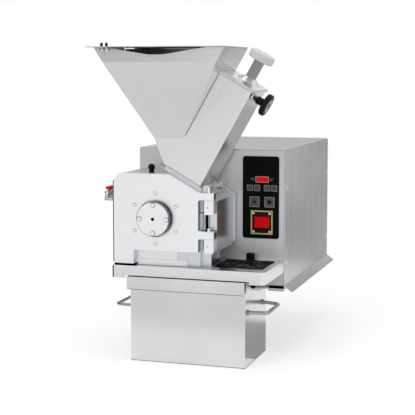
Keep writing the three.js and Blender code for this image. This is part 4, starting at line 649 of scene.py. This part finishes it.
class MILL_OT_door_screws(bpy.types.Operator):
    """Sets the screws of the door and of the bearing cover"""

    bl_idname = "mill.door_screws"
    bl_label = "Door screws"

    def execute(self, context):
        look = finishes()
        s = sizes()
        low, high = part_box("bearing_cover")
        centre = (low + high) / 2
        door_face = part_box("door_plate")[0].y
        rings = (
            ("door_screw", s.door_screw, s.door_circle, 6, door_face + 0.0006, door_face),
            ("cover_screw", s.cover_screw, s.cover_circle, 4, low.y, low.y),
        )
        for name, radius, circle, count, face, shadow_face in rings:
            model = socket_screw(radius, radius * 0.45)
            rim = self.rim(radius)
            places = [
                Vector((
                    centre.x + circle * math.cos(math.pi / 2 + 2 * math.pi * i / count),
                    face,
                    centre.z + circle * math.sin(math.pi / 2 + 2 * math.pi * i / count),
                ))
                for i in range(count)
            ]
            copies(model, name, places, FRONT, "door", look["bright"])
            # Painted shadow: a dark ring round each screw head stands for the shade in its recess.
            shadow_places = [Vector((p.x, shadow_face, p.z)) for p in places]
            copies(rim, name + "_seat", shadow_places, FRONT, "door", look["groove"])
        return {"FINISHED"}

    def rim(self, radius):
        """A dark ring of painted shadow round a sunk screw head, where its recess lies in shade."""
        deselect()
        bpy.ops.mesh.primitive_circle_add(vertices=48, radius=radius * 1.16, fill_type="NGON")
        piece = bpy.context.object
        bpy.ops.object.mode_set(mode="EDIT")
        bpy.ops.mesh.select_all(action="SELECT")
        bpy.ops.mesh.inset(thickness=radius * 0.14)
        bpy.ops.mesh.delete(type="FACE")
        bpy.ops.object.mode_set(mode="OBJECT")
        with_modifier(piece, "SOLIDIFY", thickness=0.00012, offset=1.0)
        return piece


def slab(name, low, high, edge, body, slot, material, segments=2, turn=None):
    """A block between two corners with its edges rounded, in the frame or in the one that turn gives."""
    deselect()
    bpy.ops.mesh.primitive_cube_add(size=1.0, location=(low + high) / 2)
    piece = bpy.context.object
    piece.scale = high - low
    bpy.ops.object.transform_apply(location=False, rotation=False, scale=True)
    bpy.ops.object.mode_set(mode="EDIT")
    bpy.ops.mesh.select_all(action="SELECT")
    bpy.ops.mesh.bevel(offset=edge, segments=segments, affect="EDGES")
    bpy.ops.object.mode_set(mode="OBJECT")
    if turn:
        piece.matrix_world = turn @ piece.matrix_world
    return finished(piece, name, body, material)


class MILL_OT_keys(bpy.types.Operator):
    """Makes the six keys with their raised borders and plain marks"""

    bl_idname = "mill.keys"
    bl_label = "Keys"

    def execute(self, context):
        look = finishes()
        for name in ("speed_down", "speed_up", "time_down", "time_up", "start", "stop"):
            node = "key_" + name
            low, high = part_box(node)
            size = high - low
            deselect()
            bpy.ops.mesh.primitive_cube_add(size=1.0, location=(low + high) / 2)
            piece = context.object
            piece.scale = size
            bpy.ops.object.transform_apply(location=False, rotation=False, scale=True)
            bpy.ops.object.mode_set(mode="EDIT")
            mesh = bmesh.from_edit_mesh(piece.data)
            bpy.ops.mesh.select_mode(type="EDGE")
            bpy.ops.mesh.select_all(action="DESELECT")
            for edge in mesh.edges:
                along = edge.verts[0].co - edge.verts[1].co
                if abs(along.y) > 0.9 * along.length:
                    edge.select_set(True)
            bmesh.update_edit_mesh(piece.data)
            bpy.ops.mesh.bevel(offset=0.0016, segments=4, affect="EDGES")
            select_faces(piece, lambda f: f.normal.y < -0.9)
            bpy.ops.mesh.inset(thickness=size.x * 0.085)
            bpy.ops.mesh.extrude_region_move(TRANSFORM_OT_translate={"value": (0, 0.00025, 0)})
            bpy.ops.object.mode_set(mode="OBJECT")
            with_modifier(piece, "BEVEL", width=0.00018, segments=2, limit_method="ANGLE",
                          angle_limit=CORNER_ANGLE)
            finished(piece, node + "_shaped", node + "_cap", look["key"])
            piece.data.materials.append(look["key_face"])
            inner = size.x * 0.36
            middle = (low + high) / 2
            for face in piece.data.polygons:
                spot = face.center - middle
                if face.normal.y < -0.9 and abs(spot.x) < inner and abs(spot.z) < inner:
                    face.material_index = 1
            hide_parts(node)
            self.mark(name, Vector((middle.x, low.y + 0.00025, middle.z)), size.x, look["dark_mark"])
        return {"FINISHED"}

    def mark(self, name, place, size, material):
        """A plain mark on a key: line to lower, cross to raise, triangle to start, square to stop."""
        stroke = sizes().mark
        body = f"key_{name}_cap"
        reach = size * 0.17
        lines = []
        if name.endswith(("down", "up")):
            lines.append(Vector((reach, 0.0001, stroke / 2)))
        if name.endswith("up"):
            lines.append(Vector((stroke / 2, 0.0001, reach)))
        if name == "stop":
            lines.append(Vector((reach, 0.0001, reach)))
        for number, extent in enumerate(lines, 1):
            low, high = place - extent, place + extent
            slab(f"mark_{name}_{number}", low, high, 0.00004, body, "key_grey", material, 1)
        if name == "start":
            deselect()
            bpy.ops.mesh.primitive_cylinder_add(
                vertices=3, radius=reach * 1.3, depth=0.0002, location=place,
                rotation=(math.pi / 2, math.pi / 6, 0)
            )
            piece = bpy.context.object
            with_modifier(piece, "BEVEL", width=0.00005, segments=1)
            finished(piece, "mark_start", body, material)


class MILL_OT_panel_details(bpy.types.Operator):
    """Adds the display's pale frame, the plain lines beside it and the switch bezel's screws"""

    bl_idname = "mill.panel_details"
    bl_label = "Panel details"

    def execute(self, context):
        look = finishes()
        low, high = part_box("display_window")
        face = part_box("keypad_panel")[0].y
        border = 0.0011
        deselect()
        bpy.ops.mesh.primitive_plane_add(
            size=1.0, location=((low.x + high.x) / 2, face - 0.0003, (low.z + high.z) / 2), rotation=UP
        )
        frame_piece = context.object
        frame_piece.scale = (high.x - low.x + 2 * border, high.z - low.z + 2 * border, 1)
        bpy.ops.object.transform_apply(location=False, rotation=False, scale=True)
        bpy.ops.object.mode_set(mode="EDIT")
        bpy.ops.mesh.select_all(action="SELECT")
        bpy.ops.mesh.inset(thickness=border)
        bpy.ops.mesh.delete(type="FACE")
        bpy.ops.object.mode_set(mode="OBJECT")
        with_modifier(frame_piece, "SOLIDIFY", thickness=0.0004, offset=0.0)
        with_modifier(frame_piece, "BEVEL", width=0.0001, segments=2, limit_method="ANGLE",
                      angle_limit=CORNER_ANGLE)
        finished(frame_piece, "display_frame", "housing", look["mark"])
        for side, reach in (("left", -1), ("right", 1)):
            edge = low.x if reach < 0 else high.x
            for row, (rise, span) in enumerate(((0.0022, 0.009), (-0.0022, 0.007)), 1):
                start = edge + reach * 0.0035
                a = Vector((start, face - 0.0002, (low.z + high.z) / 2 + rise - 0.00035))
                b = Vector((start + reach * span, face, (low.z + high.z) / 2 + rise + 0.00035))
                lo = Vector(map(min, a, b))
                hi = Vector(map(max, a, b))
                slab(f"display_line_{side}_{row}", lo, hi, 0.00005, "housing", "key_grey", look["mark"], 1)
        low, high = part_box("switch_frame")
        middle = (low + high) / 2
        model = socket_screw(sizes().switch_screw, 0.0012, recess=0.62)
        places = [
            Vector((middle.x + dx * 0.0195, low.y, middle.z + dz * 0.0215)) for dx in (-1, 1) for dz in (-1, 1)
        ]
        copies(model, "switch_screw", places, FRONT, "housing", look["white"])
        return {"FINISHED"}


class MILL_OT_lid_fittings(bpy.types.Operator):
    """Sets the lid's two black cap nuts, the nuts below and the strip that they hold"""

    bl_idname = "mill.lid_fittings"
    bl_label = "Lid fittings"

    def execute(self, context):
        look = finishes()
        low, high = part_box("hopper_lid")
        top = LID_TOP * MM
        under = top - 2 * MM
        spots = [Vector((low.x + run * MM, low.y + 6 * MM, 0)) for run in (37.5, 49.3)]
        radius = sizes().cap_nut
        deselect()
        bpy.ops.mesh.primitive_cylinder_add(
            vertices=32, radius=radius, depth=0.0085, location=(0, 0, 0.00425)
        )
        model = context.object
        bpy.ops.object.mode_set(mode="EDIT")
        select_faces(model, lambda f: f.normal.z > 0.9)
        bpy.ops.mesh.bevel(offset=radius * 0.82, segments=6, affect="EDGES")
        bpy.ops.object.mode_set(mode="OBJECT")
        bpy.ops.object.transform_apply(location=True)
        copies(model, "cap_nut", [Vector((p.x, p.y, top)) for p in spots], (0, 0, 1), "lid",
               look["black"])
        deselect()
        bpy.ops.mesh.primitive_cylinder_add(vertices=6, radius=0.0036, depth=0.0030, location=(0, 0, 0.0015))
        model = context.object
        bpy.ops.object.mode_set(mode="EDIT")
        bpy.ops.mesh.select_all(action="SELECT")
        bpy.ops.mesh.bevel(offset=0.0003, segments=2, affect="EDGES")
        bpy.ops.object.mode_set(mode="OBJECT")
        bpy.ops.object.transform_apply(location=True)
        copies(model, "lid_nut", [Vector((p.x, p.y, under - 0.0068)) for p in spots], (0, 0, 1), "lid",
               look["bright"])
        for number, p in enumerate(spots, 1):
            deselect()
            bpy.ops.mesh.primitive_cylinder_add(
                vertices=20, radius=0.0020, depth=0.0095, location=(p.x, p.y, under - 0.0047)
            )
            stud = context.object
            with_modifier(stud, "BEVEL", width=0.0004, segments=2, limit_method="ANGLE",
                          angle_limit=CORNER_ANGLE)
            finished(stud, f"lid_stud_{number}", "lid", look["bright"])
        slab("lid_strip", at(-132, -220, 564.0), at(-107.5, -212, 566.2), 0.0004, "lid", "bright_steel",
             look["bright"])
        slab("lid_strip_root", at(-192, -219, 564.4), at(-132.2, -212, 565.6), 0.0003, "lid", "bright_steel",
             look["machined"])
        slab("lid_strip_stud", at(-131.5, -221, 561.5), at(-129.5, -213, 567.8), 0.0004, "lid", "bright_steel",
             look["bright"])
        return {"FINISHED"}


class MILL_OT_side_screws(bpy.types.Operator):
    """Sets the small screws in the housing's sides"""

    bl_idname = "mill.side_screws"
    bl_label = "Housing screws"

    def execute(self, context):
        look = finishes()
        for side, name in ((1, "right"), (-1, "left")):
            model = socket_screw(sizes().case_screw, 0.0016)
            places = [
                Vector((side * HOUSING_WALL, at(0, y, 0).y, z * MM)) for y in (18, 470) for z in (64.8, 243.5)
            ]
            copies(model, f"case_screw_{name}", places, (side, 0, 0), "housing",
                   look["bright"])
        return {"FINISHED"}


class MILL_OT_dark_gaps(bpy.types.Operator):
    """Lays black strips of painted shade where the part has dark gaps and edges."""

    bl_idname = "mill.dark_gaps"
    bl_label = "Seals"

    def execute(self, context):
        rubber = finishes()["seal"]
        # Painted shade: each black strip lies in a gap, a slot or under a lip, where there is only shadow.
        for name, body, low, high in (
            ("hinge_slot_seal", "housing", (31.6, -143.0, 152.0), (37.6, -141.7, 194.0)),
            ("hinge_step_seal", "housing", (23.0, -143.0, 196.4), (33.0, -141.7, 198.8)),
            ("base_seam_right", "housing", (141.5, -1.8, 7.0), (178.8, -0.3, 13.6)),
            ("base_seam_left", "housing", (-178.8, -1.6, 8.2), (-152.5, -0.3, 12.4)),
            ("vessel_hem_seam", "collecting_vessel", (-144.0, HEM_Y + 0.4, 20.8), (133.0, HEM_Y + 1.4, 22.1)),
            ("door_foot_seal", "door", (-179.0, -171.2, 74.9), (-134.2, -157.4, 77.9)),
        ):
            slab(name, at(*low), at(*high), 0.0003, body, "black_rubber", rubber)
        # This finish also serves the strips of painted shade along the edges.
        self.edge_lines(finishes()["seam"])
        # Painted shade: a black disc in the bearing cover's centre hole.
        low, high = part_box("bearing_cover")
        deselect()
        bpy.ops.mesh.primitive_cylinder_add(
            vertices=32, radius=0.0036, depth=0.0012, rotation=UP,
            location=((low.x + high.x) / 2, low.y + 0.0006, (low.z + high.z) / 2)
        )
        bore = context.object
        with_modifier(bore, "BEVEL", width=0.0002, segments=2, limit_method="ANGLE", angle_limit=CORNER_ANGLE)
        finished(bore, "cover_bore_seal", "door", rubber)
        return {"FINISHED"}

    def edge_lines(self, finish):
        """Dark strips of painted shade at the left of the door and along the vessel's foot, and a painted dark
        reflection along the table's left end.
        """
        low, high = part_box("door_plate")
        a = Vector((low.x - 0.0003, low.y - 0.0002, low.z + 0.003))
        b = Vector((low.x + 0.0019, low.y + 0.005, high.z - 0.0165))
        slab("door_edge_left", a, b, 0.0002, "door", "bright_steel", finish)
        low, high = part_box("table")
        a = Vector((low.x - 0.0022, low.y - 0.0002, low.z + 0.001))
        b = Vector((low.x + 0.0012, low.y + 0.010, high.z - 0.0005))
        slab("table_edge_left", a, b, 0.0002, body_of("table"), "bright_steel", finish)
        low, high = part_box("vessel")
        for name, a, b in (
            ("vessel_foot_front", (-141.0, -166.3, -146.6), (130.6, -165.0, -145.3)),
            ("vessel_foot_right", (130.0, -165.6, -146.6), (131.3, 17.0, -145.3)),
        ):
            slab(name, at(*a), at(*b), 0.0002, "collecting_vessel", "bright_steel", finish)


class MILL_OT_chute_seams(bpy.types.Operator):
    """Draws the duct's weld and the cap's seams, and a black strip of painted shade in the cap's slot."""

    bl_idname = "mill.chute_seams"
    bl_label = "Chute seams"

    def execute(self, context):
        look = finishes()
        for name, finish, low, high in (
            ("duct_weld", "seam", (-16.4, -141.6, 90), (-15.3, -139.8, 249)),
            ("cap_seam_lower", "seam", (-15.6, -143.4, 251.8), (72.6, -142.8, 252.7)),
            ("cap_seam_upper", "seam", (-15.6, -143.4, 256.2), (72.6, -142.8, 256.9)),
            # Painted shade: a black strip stands for the shadow in the cap's slot.
            ("cap_slot_seal", "seal", (14.2, -136.8, 257.6), (30.0, -133.9, 258.5)),
        ):
            corners = [Vector((s * MM, (y * MM), h * MM)) for s, y, h in (low, high)]
            slab(name, *corners, 0.0002, "feed_hopper", "satin_stainless", look[finish], 1, CHUTE)
        return {"FINISHED"}


class MILL_OT_bolt_face(bpy.types.Operator):
    """Sets the pale ring in the face of the spring bolt's knob"""

    bl_idname = "mill.bolt_face"
    bl_label = "Bolt knob face"

    def execute(self, context):
        look = finishes()
        along = Vector((math.cos(CHUTE_TILT), 0, -math.sin(CHUTE_TILT)))
        out = Vector((math.sin(CHUTE_TILT), 0, math.cos(CHUTE_TILT)))
        place = CHUTE_ORIGIN + along * (111.0 * MM) + out * (239 * MM) + Vector((0, -106 * MM, 0))
        deselect()
        bpy.ops.mesh.primitive_circle_add(vertices=64, radius=0.0165, fill_type="NGON")
        piece = context.object
        bpy.ops.object.mode_set(mode="EDIT")
        bpy.ops.mesh.select_all(action="SELECT")
        bpy.ops.mesh.inset(thickness=0.0090)
        bpy.ops.mesh.delete(type="FACE")
        bpy.ops.object.mode_set(mode="OBJECT")
        with_modifier(piece, "SOLIDIFY", thickness=0.0016, offset=1.0)
        with_modifier(piece, "BEVEL", width=0.0004, segments=3, limit_method="ANGLE",
                      angle_limit=CORNER_ANGLE)
        aimed(piece, place, along)
        finished(piece, "bolt_knob_ring", "index_bolt", look["bolt_ring"])
        return {"FINISHED"}


class MILL_OT_stage(bpy.types.Operator):
    """Lays the pale floor and sets the soft lights, the sky and the camera"""

    bl_idname = "mill.stage"
    bl_label = "Stage, lights and camera"

    def execute(self, context):
        scene = context.scene
        scene.view_settings.view_transform = "Standard"
        deselect()
        bpy.ops.mesh.primitive_plane_add(size=9.0, location=(0, 0, CAD_BOX[0].z - 0.0006))
        floor = context.object
        floor.name = "floor"
        floor.data.materials.append(self.floor_material())
        for name, place, size, power in LAMPS:
            light = bpy.data.lights.new(name, "AREA")
            light.shape = "SQUARE"
            light.size = size
            light.energy = power
            lamp = bpy.data.objects.new(name, light)
            scene.collection.objects.link(lamp)
            lamp.location = place
            lamp.rotation_euler = (LAMP_AIM - Vector(place)).to_track_quat("-Z", "Y").to_euler()
        for name, centre, size, turn, level in BOARDS:
            self.board(name, centre, size, turn, level)
        self.sky(scene)
        camera = bpy.data.cameras.new("camera")
        camera.sensor_width = 36.0
        camera.lens = CAMERA_LENS
        camera.shift_y = CAMERA_SHIFT
        holder = bpy.data.objects.new("camera", camera)
        scene.collection.objects.link(holder)
        holder.location = CAMERA_PLACE
        holder.rotation_euler = (math.radians(90 - CAMERA_PITCH), 0, math.radians(CAMERA_TURN))
        scene.camera = holder
        return {"FINISHED"}

    def board(self, name, centre, size, turn, level):
        """A grey board that only shows in the metal, as a studio's flags do."""
        deselect()
        bpy.ops.mesh.primitive_plane_add(size=1.0, location=centre, rotation=turn)
        piece = bpy.context.object
        piece.name = name
        piece.scale = (*size, 1)
        made = bpy.data.materials.new(name)
        made.use_nodes = True
        tree = made.node_tree
        tree.nodes.clear()
        out = tree.nodes.new("ShaderNodeOutputMaterial")
        glow = tree.nodes.new("ShaderNodeEmission")
        glow.inputs["Color"].default_value = (1, 1, 1, 1)
        glow.inputs["Strength"].default_value = level
        tree.links.new(glow.outputs[0], out.inputs[0])
        piece.data.materials.append(made)
        piece.visible_camera = piece.visible_diffuse = piece.visible_shadow = False
        piece.visible_transmission = piece.visible_volume_scatter = False

    def floor_material(self):
        made = bpy.data.materials.new("floor_pale")
        made.use_nodes = True
        tree = made.node_tree
        tree.nodes.clear()
        out = tree.nodes.new("ShaderNodeOutputMaterial")
        diffuse = tree.nodes.new("ShaderNodeBsdfDiffuse")
        diffuse.inputs["Color"].default_value = (0.90, 0.90, 0.90, 1)
        glow = tree.nodes.new("ShaderNodeEmission")
        glow.inputs["Strength"].default_value = 0.42
        added = tree.nodes.new("ShaderNodeAddShader")
        ray = tree.nodes.new("ShaderNodeLightPath")
        seen = tree.nodes.new("ShaderNodeMath")
        seen.operation = "MAXIMUM"
        mixed = tree.nodes.new("ShaderNodeMixShader")
        where = tree.nodes.new("ShaderNodeTexCoord")
        reach = tree.nodes.new("ShaderNodeVectorMath")
        reach.operation = "LENGTH"
        fade = tree.nodes.new("ShaderNodeMapRange")
        fade.interpolation_type = "SMOOTHSTEP"
        fade.inputs["From Min"].default_value = 0.6
        fade.inputs["From Max"].default_value = 2.4
        clear = tree.nodes.new("ShaderNodeBsdfTransparent")
        edge = tree.nodes.new("ShaderNodeMixShader")
        link = tree.links.new
        link(ray.outputs["Is Camera Ray"], seen.inputs[0])
        link(ray.outputs["Is Glossy Ray"], seen.inputs[1])
        link(diffuse.outputs[0], added.inputs[0])
        link(glow.outputs[0], added.inputs[1])
        link(seen.outputs[0], mixed.inputs[0])
        link(diffuse.outputs[0], mixed.inputs[1])
        link(added.outputs[0], mixed.inputs[2])
        link(where.outputs["Object"], reach.inputs[0])
        link(reach.outputs["Value"], fade.inputs["Value"])
        link(fade.outputs["Result"], edge.inputs[0])
        link(mixed.outputs[0], edge.inputs[1])
        link(clear.outputs[0], edge.inputs[2])
        link(edge.outputs[0], out.inputs[0])
        return made

    def sky(self, scene):
        world = scene.world or bpy.data.worlds.new("studio")
        scene.world = world
        world.use_nodes = True
        tree = world.node_tree
        tree.nodes.clear()
        out = tree.nodes.new("ShaderNodeOutputWorld")
        seen = tree.nodes.new("ShaderNodeBackground")
        light = tree.nodes.new("ShaderNodeBackground")
        mix = tree.nodes.new("ShaderNodeMixShader")
        ray = tree.nodes.new("ShaderNodeLightPath")
        first = tree.nodes.new("ShaderNodeMath")
        second = tree.nodes.new("ShaderNodeMath")
        first.operation = second.operation = "MAXIMUM"
        seen.inputs["Color"].default_value = (1, 1, 1, 1)
        light.inputs["Color"].default_value = (1, 1, 1, 1)
        light.inputs["Strength"].default_value = 0.55
        link = tree.links.new
        link(ray.outputs["Is Camera Ray"], first.inputs[0])
        link(ray.outputs["Is Glossy Ray"], first.inputs[1])
        link(first.outputs[0], second.inputs[0])
        link(ray.outputs["Is Transmission Ray"], second.inputs[1])
        link(second.outputs[0], mix.inputs[0])
        link(light.outputs[0], mix.inputs[1])
        link(seen.outputs[0], mix.inputs[2])
        link(mix.outputs[0], out.inputs[0])


OPERATORS = (
    MILL_OT_stage,
    MILL_OT_shape_solids,
    MILL_OT_inner_finishes,
    MILL_OT_wire_pieces,
    MILL_OT_mat,
    MILL_OT_door_screws,
    MILL_OT_keys,
    MILL_OT_panel_details,
    MILL_OT_lid_fittings,
    MILL_OT_side_screws,
    MILL_OT_dark_gaps,
    MILL_OT_chute_seams,
    MILL_OT_bolt_face,
)


class MILL_PT_panel(bpy.types.Panel):
    """Sizes, colours and steps of the cutting mill"""

    bl_idname = "MILL_PT_panel"
    bl_label = "Cutting mill"
    bl_space_type = "VIEW_3D"
    bl_region_type = "UI"
    bl_category = "Mill"

    def draw(self, context):
        for group in (context.scene.mill_sizes, context.scene.mill_colours):
            box = self.layout.box()
            for name in group.__annotations__:
                box.prop(group, name)
        for operator in OPERATORS:
            self.layout.operator(operator.bl_idname)


CLASSES = (MillSizes, MillColours, *OPERATORS, MILL_PT_panel)


def register():
    for cls in CLASSES:
        bpy.utils.register_class(cls)
    bpy.types.Scene.mill_sizes = PointerProperty(type=MillSizes)
    bpy.types.Scene.mill_colours = PointerProperty(type=MillColours)


def unregister():
    del bpy.types.Scene.mill_colours
    del bpy.types.Scene.mill_sizes
    for cls in reversed(CLASSES):
        bpy.utils.unregister_class(cls)


def main():
    register()
    for operator in OPERATORS:
        group, name = operator.bl_idname.split(".")
        getattr(getattr(bpy.ops, group), name)()


if __name__ == "__main__":
    main()
